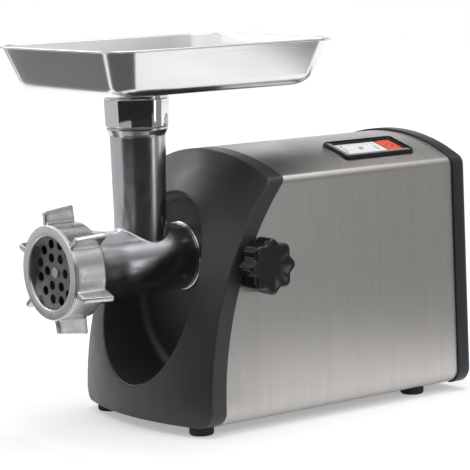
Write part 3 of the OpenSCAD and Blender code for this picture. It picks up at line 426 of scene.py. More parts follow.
# %% [markdown]
# ## Moulded plastics and rubber
#
# The covers are charcoal plastic from a spark-eroded mould: a very fine grain and a soft
# sheen. The knob and the panel frame come from a polished mould, so they are nearly black
# and glossy. The keys are smooth, in white and in orange red. Feet are dull black rubber.


# %% Plastics from one helper
def moulded(name, dark, light, rough, grain_depth, shine=0.35):
    """Moulded plastic: slight colour drift, a roughness range and a spark-eroded grain."""
    plastic = Finish(name, 0.0, Specular_IOR_Level=shine)
    drift = plastic.noise((22, 22, 22), 2)
    spark = plastic.noise((2400, 2400, 2400), 3)
    plastic.colour(drift, dark, light)
    plastic.roughness(plastic.noise((70, 70, 70), 3), *rough)
    plastic.relief(spark, grain_depth)
    return plastic


charcoal = moulded(
    "charcoal_cover_plastic", (0.027, 0.027, 0.031), (0.034, 0.034, 0.039), (0.33, 0.41), 0.010, 0.5
)
black_cover = moulded(
    "black_cover_plastic", (0.016, 0.016, 0.018), (0.021, 0.021, 0.024), (0.34, 0.42), 0.010
)
gloss_black = moulded(
    "gloss_black_plastic", (0.008, 0.008, 0.009), (0.012, 0.012, 0.014), (0.09, 0.15), 0.003, 0.5
)
white_key = moulded(
    "white_key_plastic", (0.86, 0.86, 0.87), (0.91, 0.91, 0.92), (0.26, 0.34), 0.004
)
red_key = moulded(
    "orange_red_key_plastic", (0.78, 0.10, 0.055), (0.84, 0.125, 0.07), (0.26, 0.34), 0.004
)
grey_print = moulded("grey_print", (0.20, 0.20, 0.22), (0.25, 0.25, 0.27), (0.45, 0.55), 0.002)
red_print = moulded("dark_red_print", (0.33, 0.03, 0.02), (0.38, 0.04, 0.03), (0.45, 0.55), 0.002)
foot_rubber = moulded(
    "black_foot_rubber", (0.014, 0.014, 0.014), (0.022, 0.022, 0.022), (0.62, 0.78), 0.02
)
nylon = moulded("ivory_nylon", (0.62, 0.58, 0.48), (0.70, 0.66, 0.56), (0.38, 0.48), 0.01)
blue_switch = moulded(
    "blue_switch_plastic", (0.03, 0.10, 0.24), (0.045, 0.13, 0.29), (0.38, 0.48), 0.006
)
carbon = moulded("pressed_carbon", (0.018, 0.018, 0.018), (0.03, 0.03, 0.03), (0.5, 0.66), 0.02)


# %% [markdown]
# ## Metals inside the body
#
# Nobody sees the drive train in use, but it comes apart on a bench, so it gets real
# finishes too: ground shafts with fine rings, zinc-plated screws, dark laminations,
# enamelled copper, sintered bronze and a green circuit board.


# %% Machined metals and the board
def machined(name, dark, light, rough, stretch, depth):
    """Metal with tool marks: the stretch sets the direction and pitch of the marks."""
    metal = Finish(name, 1.0)
    marks = metal.noise(stretch, 4)
    metal.colour(metal.noise((60, 60, 60), 2), dark, light)
    metal.roughness(marks, *rough)
    metal.relief(marks, depth)
    return metal


ground_steel = machined(
    "ground_steel", (0.54, 0.545, 0.555), (0.63, 0.635, 0.645), (0.16, 0.28), (60, 2600, 60), 0.003
)
plate_steel = machined(
    "matt_plate_steel", (0.20, 0.20, 0.205), (0.25, 0.25, 0.255),
    (0.34, 0.46), (500, 500, 500), 0.008
)
zinc_steel = machined(
    "zinc_plated_steel", (0.44, 0.45, 0.47), (0.52, 0.53, 0.55),
    (0.26, 0.38), (900, 900, 900), 0.004
)
sintered_steel = machined(
    "sintered_steel", (0.24, 0.24, 0.25), (0.31, 0.31, 0.32), (0.44, 0.58), (1800, 1800, 1800), 0.02
)
lamination = machined(
    "stacked_laminations", (0.16, 0.16, 0.17), (0.23, 0.23, 0.24),
    (0.42, 0.56), (25, 2000, 25), 0.06
)
copper = machined(
    "enamelled_copper", (0.50, 0.20, 0.09), (0.60, 0.26, 0.12), (0.28, 0.40), (1400, 60, 1400), 0.06
)
bronze = machined(
    "sintered_bronze", (0.46, 0.32, 0.14), (0.55, 0.39, 0.18),
    (0.32, 0.46), (1500, 1500, 1500), 0.01
)

board_green = Finish("green_circuit_board", 0.0, Coat_Weight=0.3, Coat_Roughness=0.15)
tracks = board_green.noise((420, 90, 420), 1)
board_green.colour(tracks, (0.015, 0.10, 0.035), (0.03, 0.17, 0.06))
board_green.roughness(tracks, 0.32, 0.5)
board_green.relief(tracks, 0.03)
print("finishes made:", len([m for m in bpy.data.materials if m.use_nodes]))

# %% [markdown]
# ## Dress every CAD node
#
# The record says which material slot each CAD node uses. A table from slot to finish paints
# them all, so the inside is finished even where a later piece hides a node.

# %% Slots to finishes
SLOTS = {
    "dark_plastic": charcoal, "black_plastic": black_cover, "gloss_black": gloss_black,
    "white_plastic": white_key, "red_plastic": red_key, "blue_plastic": blue_switch,
    "board_green": board_green, "ivory_nylon": nylon, "carbon": carbon,
    "brushed_steel": wrap_steel, "polished_steel": buffed_steel, "tray_steel": tray_steel,
    "plate_steel": plate_steel, "ground_steel": ground_steel, "zinc_steel": zinc_steel,
    "sintered_steel": sintered_steel, "laminated_steel": lamination,
    "polished_alloy": polished_cast, "satin_alloy": satin_cast, "cast_alloy": raw_cast,
    "copper": copper, "bronze": bronze, "rubber": foot_rubber,
}
for entry in frame["record"]["subparts"]:
    for material_slot in frame["nodes"][entry["node"]].material_slots:
        material_slot.material = SLOTS[entry["material_slot"]].material

# %% [markdown]
# ## The body's outline
#
# Seen from the front, the body is a leaning box with a low arch for a roof. Soft bends join
# the roof to the sides, and the sides curl in at the bottom. The outline is worked out once,
# with arcs that touch the straight lines, and every cover is drawn from it.

# %% Sizes of the body
HALF_BASE = 86.0
HALF_SHOULDER = 80.5
UNDER_H = 7.5
SHOULDER_H = 196.0
CROWN_H = 216.0
BEND_R = 8.0
CURL_R = 12.0
SHEET = 0.8
SEAT = 0.15

lean = (HALF_BASE - HALF_SHOULDER) / (SHOULDER_H - UNDER_H)
LEAN_DEG = math.degrees(math.atan(lean))
rise = CROWN_H - SHOULDER_H
ARCH_R = (HALF_SHOULDER**2 + rise**2) / (2 * rise)
ARCH_Z = CROWN_H - ARCH_R
cos_lean, sin_lean = math.cos(math.radians(LEAN_DEG)), math.sin(math.radians(LEAN_DEG))
side_reach = HALF_BASE * cos_lean + UNDER_H * sin_lean


def side_at(z, inset):
    """Half width of the leaning side at a height."""
    return (side_reach - inset) / cos_lean - z * lean


CURL = (side_at(UNDER_H + CURL_R, CURL_R), UNDER_H + CURL_R)
reach = side_at(ARCH_Z, BEND_R)
square = 1 + lean * lean
room = (reach * lean) ** 2 - square * (reach**2 - (ARCH_R - BEND_R) ** 2)
climb = reach * lean + math.sqrt(room)
BEND = (reach - climb / square * lean, ARCH_Z + climb / square)
ARCH_END = math.degrees(math.atan2(BEND[0], BEND[1] - ARCH_Z))
print("roof arch radius", round(ARCH_R, 1), "mm, bends at", round(ARCH_END, 1), "degrees")

# %% [markdown]
# ## The switch panel's place
#
# The panel sits on the right slope of the roof and leans with it. Its pocket cuts a window
# in the sheet, so the outline keeps a column of points at each edge of that window.

# %% The panel on the roof
PANEL_X, PANEL_Y = 50.0, 160.0
PANEL_TILT = math.degrees(math.asin(PANEL_X / ARCH_R))
PANEL_Z = ARCH_Z + ARCH_R * math.cos(math.radians(PANEL_TILT))
POCKET_W, POCKET_L = 23.0, 62.3
WINDOW = 2.2
window_half = math.degrees((POCKET_W / 2 + WINDOW) / ARCH_R)
window_left, window_right = PANEL_TILT - window_half, PANEL_TILT + window_half
arch_angles = [0, 3, 6, 9, window_left, PANEL_TILT - 2, PANEL_TILT, PANEL_TILT + 2]
arch_angles += [window_right, ARCH_END]
BEND_STEPS, SIDE_STEPS, BOTTOM_STEPS = 9, 18, 6
print("panel leans", round(PANEL_TILT, 1), "degrees with the roof")


def half_outline(inset):
    """The right half of the outline, from the crown down to the middle of the bottom."""
    over = [math.radians(a) for a in arch_angles]
    roof = [((ARCH_R - inset) * math.sin(a), ARCH_Z + (ARCH_R - inset) * math.cos(a)) for a in over]
    bend = arc(*BEND, BEND_R - inset, 90 - ARCH_END, LEAN_DEG, BEND_STEPS)
    curl = arc(*CURL, CURL_R - inset, LEAN_DEG, -90, BEND_STEPS)
    top, foot = Vector(bend[-1]), Vector(curl[0])
    side = [tuple(top.lerp(foot, k / SIDE_STEPS)) for k in range(1, SIDE_STEPS)]
    inwards = [1 - k / BOTTOM_STEPS for k in range(1, BOTTOM_STEPS + 1)]
    bottom = [(CURL[0] * share, UNDER_H + inset) for share in inwards]
    return roof[:-1] + bend + side + curl + bottom


CURL_END = len(half_outline(0)) - BOTTOM_STEPS - 1


def outline(inset):
    """The whole outline as one ring, clockwise from the crown."""
    half = half_outline(inset)
    return half + [(-x, z) for x, z in half[-2:0:-1]]


def strip(inset):
    """The outline without its bottom, from the left curl over the roof to the right curl."""
    half = half_outline(inset)[: CURL_END + 1]
    return [(-x, z) for x, z in half[::-1]] + half[1:]


def under_body(column):
    """True for the faces of a ring that lie on the open bottom."""
    return CURL_END <= column < len(outline(0)) - CURL_END


# %% [markdown]
# ## The bulged front
#
# The front cover is a shallow barrel: round in plan, and leaning back as it rises. Where it
# meets the sides there is a crisp edge with a tiny radius that catches the light. A deep oval
# recess takes the head. One row of rings runs from the steel, over the edge, across the
# bulge, into the recess and up to the socket, so the light flows over it without a seam.

# %% The front surface
FRONT_Y = -53.0
BULGE_R = 220.0
LEAN_R, LEAN_H = 291.0, 15.5
BAND = 14.5
RECESS_W, RECESS_L, RECESS_H, RECESS_Y = 116.0, 150.0, 108.5, 3.5
COVER_T = 2.6
EDGE_R = 1.1
SLEEVE_R = 28.16


def front_at(x, z):
    """Place of the bulged front along the machine, for a point of the front view."""
    radius = BULGE_R
    if z > LEAN_H:
        radius += math.sqrt(LEAN_R**2 - (z - LEAN_H) ** 2) - LEAN_R
    return FRONT_Y + BULGE_R - math.sqrt(radius**2 - x * x)


def oval(grow):
    """The recess outline, with a point towards each point of the body's outline."""
    points = []
    for x, z in outline(0):
        t = math.atan2((z - RECESS_H) / RECESS_L, x / RECESS_W)
        u, v = (RECESS_W / 2 + grow) * math.cos(t), (RECESS_L / 2 + grow) * math.sin(t)
        points.append((u, RECESS_H + v))
    return points


def between_rings(a, b, t):
    """A ring part of the way from one ring to another."""
    return [tuple(Vector(p).lerp(Vector(q), t)) for p, q in zip(a, b)]


def on_front(ring, back=0.0):
    """A ring of the front view laid on the bulge, or behind it."""
    return [(x, front_at(x, z) + back, z) for x, z in ring]


# %% Rings of the front cover
RIM_R, FLOOR_R = 1.2, 8.0
BULGE_STEPS, WALL_STEPS, FLOOR_STEPS = 16, 4, 6
BAND_ROWS = (BAND, 11, 8, 5, 3)

rings = [on_front(outline(0), back) for back in BAND_ROWS]
rings += [on_front(outline(inset), back) for inset, back in edge_roll(EDGE_R)]
face_edge, rim_edge = outline(EDGE_R), oval(RIM_R)
for k in range(1, BULGE_STEPS):
    rings.append(on_front(between_rings(face_edge, rim_edge, k / BULGE_STEPS)))
rings += [on_front(oval(grow), back) for back, grow in edge_roll(RIM_R)]

# %% Rings of the recess
wall_top = on_front(oval(0), RIM_R)
wall_foot = [(x, max(RECESS_Y - FLOOR_R, y), z) for x, y, z in wall_top]
rings += [between_rings(wall_top, wall_foot, k / WALL_STEPS) for k in range(1, WALL_STEPS + 1)]
for inset, ahead in edge_roll(FLOOR_R)[1:]:
    spots = zip(oval(-inset), wall_top)
    rings.append([(x, max(RECESS_Y - ahead, y), z) for (x, z), (_, y, _) in spots])
spokes = [(x, z - RECESS_H) for x, z in oval(0)]
hole = [(SLEEVE_R + SEAT) / math.hypot(*spoke) * Vector(spoke) for spoke in spokes]
hole = [(x, AXIS_H + z) for x, z in hole]
floor_edge = oval(-FLOOR_R)
for k in range(1, FLOOR_STEPS + 1):
    flat = between_rings(floor_edge, hole, k / FLOOR_STEPS)
    rings.append([(x, RECESS_Y, z) for x, z in flat])

LAST_BAND_ROW = len(BAND_ROWS) - 1
front = skin("front_cover_shell", rings, skip=lambda r, c: r < LAST_BAND_ROW and under_body(c))
face_away(front, 0, 60, 110)
wall(front, COVER_T)
settle(front)
dress(front, "root", charcoal.material, ["front_cover"])

# %% [markdown]
# ## The steel wrap
#
# One sheet is bent over the machine like a coat: up one side, round the shoulder, over the
# roof and down again, with both lower edges curled in. Its front edge follows the crease of
# the front cover, so the first rows bend with it and the rest run straight. The window for
# the switches is a group of faces left out, and Solidify gives the sheet its thickness.

# %% The wrap
WRAP_REAR = span("steel_wrap", "y")[1]
STRAIGHT_Y, EDGE_ROWS = 52.0, 4
window_rows = [PANEL_Y - POCKET_L / 2 - WINDOW, PANEL_Y + POCKET_L / 2 + WINDOW]
straight = [STRAIGHT_Y, 78, 104, window_rows[0], 143, PANEL_Y, 177]
straight += [window_rows[1], 209, WRAP_REAR]
edge = [(x, front_at(x, z) + BAND + SEAT, z) for x, z in strip(0)]
fair = [(x, STRAIGHT_Y, z) for x, z in strip(0)]
rings = [between_rings(edge, fair, k / EDGE_ROWS) for k in range(EDGE_ROWS)]
rings += [[(x, y, z) for x, z in strip(0)] for y in straight]
first_row, last_row = (EDGE_ROWS + straight.index(y) for y in window_rows)
first_col = CURL_END + arch_angles.index(window_left)
last_col = CURL_END + arch_angles.index(window_right)


def in_window(r, c):
    """True for the faces of the sheet inside the panel's window."""
    return first_row <= r < last_row and first_col <= c < last_col


LOCK_Y = 15.5
BOLT_R = 5.0
wrap = skin("steel_wrap_sheet", rings, around=False, skip=in_window)
face_away(wrap, 0, 130, 110)
wall(wrap, SHEET)
settle(wrap, [rod("bolt_hole", "x", (0, LOCK_Y, AXIS_H), BOLT_R + 1, 60, 110)])
dress(wrap, "root", wrap_steel.material, ["steel_wrap"])

# %% [markdown]
# ## The rear cover
#
# A plastic lid closes the back. It stands slightly proud of the steel with a soft rear edge,
# and has a ladder of vent slots and a hole for the cord gland. The shell is a ringed skin
# with a wall, and each slot is cut by its own block.

# %% The rear cover
REAR_Y = span("rear_cover", "y")[1]
PROUD = 1.6
REAR_EDGE = 4.0
VENTS, VENT_LOW, VENT_PITCH, VENT_H, VENT_HALF = 7, 70.0, 9.0, 3.0, 36.0
GLAND_X, GLAND_Z, GLAND_R = -52.0, 32.0, 8.0
CUT_FROM, CUT_TO = REAR_Y - 10, REAR_Y + 2

start = WRAP_REAR + SEAT
steps = [(0.6, start), (0.2 - PROUD, start), (0.05 - PROUD, start + 0.2), (-PROUD, start + 0.7)]
steps += [(-PROUD, start + 4), (-PROUD, REAR_Y - REAR_EDGE)]
steps += [(inset - PROUD, REAR_Y - ahead) for inset, ahead in edge_roll(REAR_EDGE)[1:]]
rings = [[(x, y, z) for x, z in outline(inset)] for inset, y in steps]
rear = skin("rear_cover_shell", rings, skip=lambda r, c: r < 5 and under_body(c), caps=(-1,))
face_away(rear, 0, 200, 110)
wall(rear, COVER_T)
cutters = []
for k in range(VENTS):
    low = VENT_LOW + VENT_PITCH * k
    high = VENT_LOW + VENT_H + VENT_PITCH * k
    cutters.append(block(f"vent_{k}", (-VENT_HALF, CUT_FROM, low), (VENT_HALF, CUT_TO, high)))
cutters.append(rod("gland_hole", "y", (GLAND_X, 0, GLAND_Z), GLAND_R + SEAT, CUT_FROM, CUT_TO))
settle(rear, cutters)
dress(rear, "root", black_cover.material, ["rear_cover"])

# %% [markdown]
# ## The socket ring
#
# The head slides into a short steel tube. Only its buffed lip shows: a thin bright ring with
# a rounded edge. It is turned, so a closed profile spun about the grinding axis makes it.

# %% The socket ring
BORE_R = 25.46
SOCKET_REAR = span("socket_sleeve", "y")[1]
LIP = 1.2
profile = [(BORE_R, SOCKET_REAR), (BORE_R, 12)]
profile += [(BORE_R, LIP)] + arc(BORE_R + LIP, LIP, LIP, 180, 270, 6)[1:]
profile += arc(SLEEVE_R - LIP, LIP, LIP, -90, 0, 6) + [(SLEEVE_R, 12), (SLEEVE_R, SOCKET_REAR)]
sleeve = skin("socket_ring", turned(profile, "y", (0, 0, AXIS_H), 96), loop=True)
settle(sleeve, [rod("bolt_hole", "x", (0, LOCK_Y, AXIS_H), BOLT_R + 0.35, 10, 60)])
dress(sleeve, "root", buffed_steel.material, ["socket_sleeve"])

# %% [markdown]
# ## The grinding head
#
# The head is one casting: a level barrel and an upright feed tube that meet in a saddle with
# a small fillet. Booleans leave ragged shading there, so the saddle is worked out. A ball of
# the fillet's radius that rolls round the joint touches both pipes, and the arc between the
# two touches is a ring column. From there, rings spread over the barrel to a rectangular
# patch, whose border the plain barrel shares. The same function makes the inside.

# %% A pipe with an upright branch
TUBE_Y = -37.0
PATCH_HALF, PATCH_DEG, PATCH_STEPS = 29.0, 75.0, 20
SADDLE_STEPS, BELLY_STEPS = 6, 28


def run_point(r, degrees, y):
    """A point of the level pipe. The angle is measured from the top towards +X."""
    a = math.radians(degrees)
    return (r * math.sin(a), y, AXIS_H + r * math.cos(a))


def patch_border():
    """The rectangle round the branch as (angle, y), one point for each ring column."""
    ticks = [2 * k / PATCH_STEPS - 1 for k in range(PATCH_STEPS)]
    sides = [(1, t) for t in ticks] + [(-t, 1) for t in ticks]
    sides += [(-1, -t) for t in ticks] + [(t, -1) for t in ticks]
    return [(PATCH_DEG * u, TUBE_Y + PATCH_HALF * v) for u, v in sides]


def saddle_rings(run_r, branch_r, fillet):
    """Rings from the patch border over the saddle to the foot of the branch."""
    border = patch_border()
    rings = [[] for _ in range(2 * SADDLE_STEPS + 1)]
    for k, (edge_deg, edge_y) in enumerate(border):
        around = math.radians(360 * k / len(border) - 45)
        x, y = (branch_r + fillet) * math.cos(around), (branch_r + fillet) * math.sin(around)
        z = math.sqrt((run_r + fillet) ** 2 - x * x)
        heart = Vector((x, TUBE_Y + y, AXIS_H + z))
        down = Vector((-x, 0, -z)).normalized()
        inward = Vector((-math.cos(around), -math.sin(around), 0))
        touch_deg = math.degrees(math.atan2(x, z))
        for j in range(SADDLE_STEPS + 1):
            t = j / SADDLE_STEPS
            place = edge_y + (TUBE_Y + y - edge_y) * t
            rings[j].append(run_point(run_r, edge_deg + (touch_deg - edge_deg) * t, place))
        for j in range(1, SADDLE_STEPS + 1):
            swing = down.slerp(inward, j / SADDLE_STEPS)
            rings[SADDLE_STEPS + j].append(tuple(heart + fillet * swing))
    return rings


def tee_rows(run_r, branch_r, fillet, front_rows, rear_rows, branch_rows):
    """All the skins of a pipe with a branch, as groups of rings and whether each closes."""
    low, high = TUBE_Y - PATCH_HALF, TUBE_Y + PATCH_HALF
    step = 2 * PATCH_DEG / PATCH_STEPS
    top = [-PATCH_DEG + step * k for k in range(PATCH_STEPS)]
    rest = [PATCH_DEG + (360 - 2 * PATCH_DEG) * k / BELLY_STEPS for k in range(BELLY_STEPS)]
    front = [[run_point(r, a, y) for a in top + rest] for r, y in [*front_rows, (run_r, low)]]
    rear = [[run_point(r, a, y) for a in top + rest] for r, y in [(run_r, high), *rear_rows]]
    ys = [low + 2 * PATCH_HALF * k / PATCH_STEPS for k in range(PATCH_STEPS + 1)]
    belly = [[run_point(run_r, a, y) for a in [*rest, 360 - PATCH_DEG]] for y in ys]
    saddle = saddle_rings(run_r, branch_r, fillet)
    count = len(saddle[0])
    for r, z in branch_rows:
        spots = [polar(r, 360 * k / count - 45) for k in range(count)]
        saddle.append([(x, TUBE_Y + y, z) for x, y in spots])
    return [(front, True), (rear, True), (belly, False), (saddle, True)]


SEAM_WELD = 0.01


def join_skins(name, groups):
    """One mesh from several groups of rings that share their borders."""
    bm = bmesh.new()
    for k, (rings, around) in enumerate(groups):
        part = skin(f"{name}_{k}", rings, around=around)
        bm.from_mesh(part.data)
        bpy.data.objects.remove(part)
    bmesh.ops.remove_doubles(bm, verts=bm.verts, dist=SEAM_WELD * MM)
    return as_piece(name, bm)


# %% [markdown]
# The barrel widens to a collar where the ring nut screws on, and narrows to a tail that
# seats in the socket. The feed tube widens slightly, and ends in a flared shoulder with a
# spigot for the tray's neck ring. The inside carries the recess for the cutting plate, the
# bore of the auger and the throat.

# %% Sizes of the casting
BARREL_R, BARREL_BORE = 26.8, 22.6
BELL_R, BELL_NECK = 33.4, 31.0
BELL_FRONT, BELL_FLOOR = span("grinder_head", "y")[0], -104.7
NUT_REAR = span("ring_nut", "y")[1]
SOCKET_Y = -4
TAIL_R, TAIL_L, BUSH_R, SHANK_R = 25.4, 34.0, 11.03, 8.0
PLATE_R = 31.06
THROAT_R = 18.0
TUBE_LOW, TUBE_TOP, SHOULDER_R, SPIGOT_R = 20.85, 22.1, 24.4, 22.2
TUBE_FOOT_H, TUBE_STEPS = 168, 8
FLARE_LOW_H, FLARE_HIGH_H = 232.5, 237
TUBE_H, SPIGOT_H = 239.0, 253.0
SADDLE_FILLET, THROAT_FILLET = 2.6, 0.6

# %% The outside of the casting
front_rows = [(PLATE_R, BELL_FRONT), (BELL_R, BELL_FRONT)]
front_rows += [(BELL_R, NUT_REAR - 1.2), (BELL_R - 0.5, NUT_REAR - 0.6)]
front_rows += [(BELL_NECK + 0.4, NUT_REAR + 2), (BELL_NECK - 0.4, NUT_REAR + 4)]
front_rows += [(29.2, -82), (27.9, -75), (27.1, -70)]
rear_rows = [(BARREL_R, SOCKET_Y), (BARREL_R, -1.2), (BARREL_R - 0.3, -0.6), (TAIL_R, -0.35)]
rear_rows += [(TAIL_R, 12), (TAIL_R, TAIL_L - 1), (TAIL_R - 1, TAIL_L), (BUSH_R, TAIL_L)]
branch_rows = []
for k in range(TUBE_STEPS + 1):
    r = TUBE_LOW + (TUBE_TOP - TUBE_LOW) * k / TUBE_STEPS
    branch_rows.append((r, TUBE_FOOT_H + 7.5 * k))
flare = [(TUBE_TOP, 229), (TUBE_TOP, FLARE_LOW_H), (SHOULDER_R, FLARE_HIGH_H)]
flare += [(SHOULDER_R, TUBE_H), (SPIGOT_R, TUBE_H)]
branch_rows += rounded(flare, [6, 1.6, 0.6])[1:]
branch_rows += [(SPIGOT_R, TUBE_H + 0.01), (SPIGOT_R, SPIGOT_H - 1)]
branch_rows += [(SPIGOT_R - 1, SPIGOT_H), (THROAT_R, SPIGOT_H)]
foot_r = TUBE_LOW - 0.02
outside = tee_rows(BARREL_R, foot_r, SADDLE_FILLET, front_rows, rear_rows, branch_rows)

# %% The inside of the casting
front_rows = [(PLATE_R, BELL_FRONT), (PLATE_R, BELL_FLOOR), (BARREL_BORE, BELL_FLOOR)]
rear_rows = [(BARREL_BORE, SOCKET_Y), (SHANK_R, SOCKET_Y), (SHANK_R, -2)]
rear_rows += [(BUSH_R, -2), (BUSH_R, TAIL_L)]
branch_rows = [(THROAT_R, z) for z in (165, 190, 215, 240, SPIGOT_H)]
inside = tee_rows(BARREL_BORE, THROAT_R, THROAT_FILLET, front_rows, rear_rows, branch_rows)

head = join_skins("head_casting", outside + inside)
KEYWAY_HALF = BOLT_R + 0.6
keyway_low = (TAIL_R - 4, LOCK_Y - BOLT_R - 2, AXIS_H - KEYWAY_HALF)
keyway = block("keyway", keyway_low, (60, TAIL_L + 2, AXIS_H + KEYWAY_HALF))
settle(head, [keyway])
dress(head, "head", polished_cast.material, ["grinder_head"])

# %% [markdown]
# ## The ring nut
#
# The nut that clamps the cutting plate is cast with six wings for the hand. Each wing has a
# fillet at its root and a rounded tip, and grows a little towards the rear. One ring holds
# all six, built from arcs, so rings of different size still match point for point. Where a
# ring has no wings, its points are drawn in to the nut's own circle.

# %% The winged outline
NUT_R, NUT_FRONT, MOUTH_R = 37.2, span("ring_nut", "y")[0], 28.6
WINGS, WING_T, WING_TURN = 6, 4.6, 9.0
WING_FRONT, WING_REAR = 10.4, 13.2
ROOT_R, TIP_R = 2.2, 1.3


def winged_ring(y, inset, height, wings=True):
    """One ring of the nut in 3-D. Without wings, every point lies on the round body."""
    body, thick = NUT_R - inset, WING_T / 2 - inset
    root = math.asin((thick + ROOT_R) / (body + ROOT_R))
    heart = ((body + ROOT_R) * math.cos(root), thick + ROOT_R)
    touch = math.degrees(root)
    tip = NUT_R + height - inset - TIP_R
    half = arc(0, 0, body, 180 / WINGS, touch, 7)[:-1]
    half += arc(*heart, ROOT_R, 180 + touch, 270, 5)
    half += [(heart[0] + (tip - heart[0]) * k / 3, thick) for k in (1, 2)]
    half += arc(tip, thick - TIP_R, TIP_R, 90, 0, 5)
    wing = half + [(u, -v) for u, v in half[::-1][:-1]]
    ring = []
    for k in range(WINGS):
        for u, v in wing:
            r, a = math.hypot(u, v), math.atan2(v, u)
            a = math.radians(90 + WING_TURN - 360 / WINGS * k) + a
            r = r if wings else min(r, body)
            ring.append((r * math.cos(a), y, AXIS_H + r * math.sin(a)))
    return ring


def plain_ring(r, y):
    """A round ring with a point towards each point of the winged ring."""
    ring = []
    for x, _, z in winged_ring(y, 0, WING_FRONT, wings=False):
        reach = math.hypot(x, z - AXIS_H)
        ring.append((x * r / reach, y, AXIS_H + (z - AXIS_H) * r / reach))
    return ring


# %% Rings of the nut
SOFT, MOUTH_SOFT = 1.1, 1.4
WING_START, WING_END = NUT_FRONT + 1.7, NUT_REAR - 0.4
WING_STEPS = 8
NUT_BORE = 33.75
PLATE_FRONT = plate_low.y / MM - MOUTH_Y
curve = [(inset, down) for down, inset in edge_roll(SOFT)]
rings = [winged_ring(NUT_FRONT + down, inset, WING_FRONT, False) for inset, down in curve]
rings.append(winged_ring(WING_START, 0, WING_FRONT, False))
rings += [winged_ring(WING_START + down, inset, WING_FRONT) for inset, down in curve]
for k in range(1, WING_STEPS):
    y = WING_START + SOFT + (WING_END - WING_START - 2 * SOFT) * k / WING_STEPS
    rings.append(winged_ring(y, 0, WING_FRONT + (WING_REAR - WING_FRONT) * k / WING_STEPS))
rings += [winged_ring(WING_END - down, inset, WING_REAR) for inset, down in curve[::-1]]
rings.append(winged_ring(WING_END, 0.0, WING_REAR, False))
rings.append(winged_ring(NUT_REAR, 0.5, WING_REAR, False))
rings += [plain_ring(NUT_BORE, NUT_REAR), plain_ring(NUT_BORE, PLATE_FRONT)]
rings += [plain_ring(MOUTH_R, PLATE_FRONT), plain_ring(MOUTH_R, NUT_FRONT + MOUTH_SOFT)]
for out, down in edge_roll(MOUTH_SOFT)[1:]:
    rings.append(plain_ring(MOUTH_R + out, NUT_FRONT + down))
nut = skin("winged_ring_nut", rings, loop=True)
dress(nut, "nut", satin_cast.material, ["ring_nut"])

# %% [markdown]
# ## The food tray
#
# The tray is drawn from one sheet: a rolled lip, leaning walls, a soft bend and a flat floor
# with a hole over the feed tube. Its cross-section is a closed path, from the hole up the
# inside, round the lip and back along the outside. Each point of that path becomes a rounded
# rectangle, drawn in from the rim by the path's first number.

# %% Rounded rectangles
TRAY_HALF_X = span("tray", "x")[1]
TRAY_FRONT, TRAY_REAR = span("tray", "y")
TRAY_LOW, TRAY_TOP = span("tray", "z")
TRAY_T = 1.2
CORNER_R, CORNER_FADE, CORNER_LEAST = 21.5, 0.4, 3
CORNER_STEPS, LONG_STEPS = 12, 8


def tray_ring(inset, z):
    """A rounded rectangle drawn in from the rim, as a ring in 3-D."""
    r = max(CORNER_R - CORNER_FADE * inset, CORNER_LEAST)
    half_x, half_y = TRAY_HALF_X - inset, (TRAY_REAR - TRAY_FRONT) / 2 - inset
    middle = (TRAY_FRONT + TRAY_REAR) / 2
    corners = corner_arcs(half_x, half_y, r, CORNER_STEPS)
    ring = []
    for here, after in zip(corners, corners[1:] + corners[:1]):
        a, b = Vector(here[-1]), Vector(after[0])
        ring += here + [tuple(a.lerp(b, k / LONG_STEPS)) for k in range(1, LONG_STEPS)]
    return [(x, middle + y, z) for x, y in ring]


def hole_ring(r, z):
    """A circle over the feed tube, with a point towards each point of the tray's ring."""
    spots = [Vector((x, y - TUBE_Y)).normalized() * r for x, y, _ in tray_ring(0, z)]
    return [(x, TUBE_Y + y, z) for x, y in spots]


# %% The tray
WALL_TAN = 0.378
TRAY_BEND = 15.0
LIP_R = 0.9
HOLE_R = THROAT_R + 2.5
inner_floor, outer_floor = TRAY_LOW + TRAY_T, TRAY_LOW
inner_top, outer_top = 3.52, 2.32


def wall_inset(top, z):
    """How far the leaning wall has drawn in at a height."""
    return top + (TRAY_TOP - z) * WALL_TAN


FLAT = 34.0
FLOOR_SHARES = (0.35, 0.7, 1)
floor_turn, under_turn = wall_inset(inner_top, inner_floor), wall_inset(outer_top, outer_floor)
inside = [(FLAT, inner_floor), (floor_turn, inner_floor)]
inside += [(wall_inset(inner_top, TRAY_TOP), TRAY_TOP), (LIP_R, TRAY_TOP)]
lip = arc(LIP_R, TRAY_TOP - LIP_R, LIP_R, 90, 300, 9)
outside = [lip[-1], (outer_top + 0.4, TRAY_TOP - 1.5)]
outside += [(under_turn, outer_floor), (FLAT, outer_floor)]
path = rounded(inside, [TRAY_BEND - TRAY_T, 1.0], 9)[:-1]
path += lip[:-1] + rounded(outside, [0.5, TRAY_BEND], 9)
bowl = [tray_ring(inset, z) for inset, z in path]
bottom = [between_rings(bowl[-1], hole_ring(HOLE_R, outer_floor), t) for t in FLOOR_SHARES]
floor = [between_rings(bowl[0], hole_ring(HOLE_R, inner_floor), t) for t in FLOOR_SHARES[::-1]]
tray = skin("food_tray", floor + bowl + bottom, loop=True)
dress(tray, "tray", tray_steel.material, ["tray"])

# %% [markdown]
# ## The neck ring
#
# A buffed ring under the tray drops over the tube. It tapers slightly, has a soft shoulder
# at its top and a flange that grips the tray's floor from both sides. It is a mirror, so its
# profile needs true arcs at every edge.

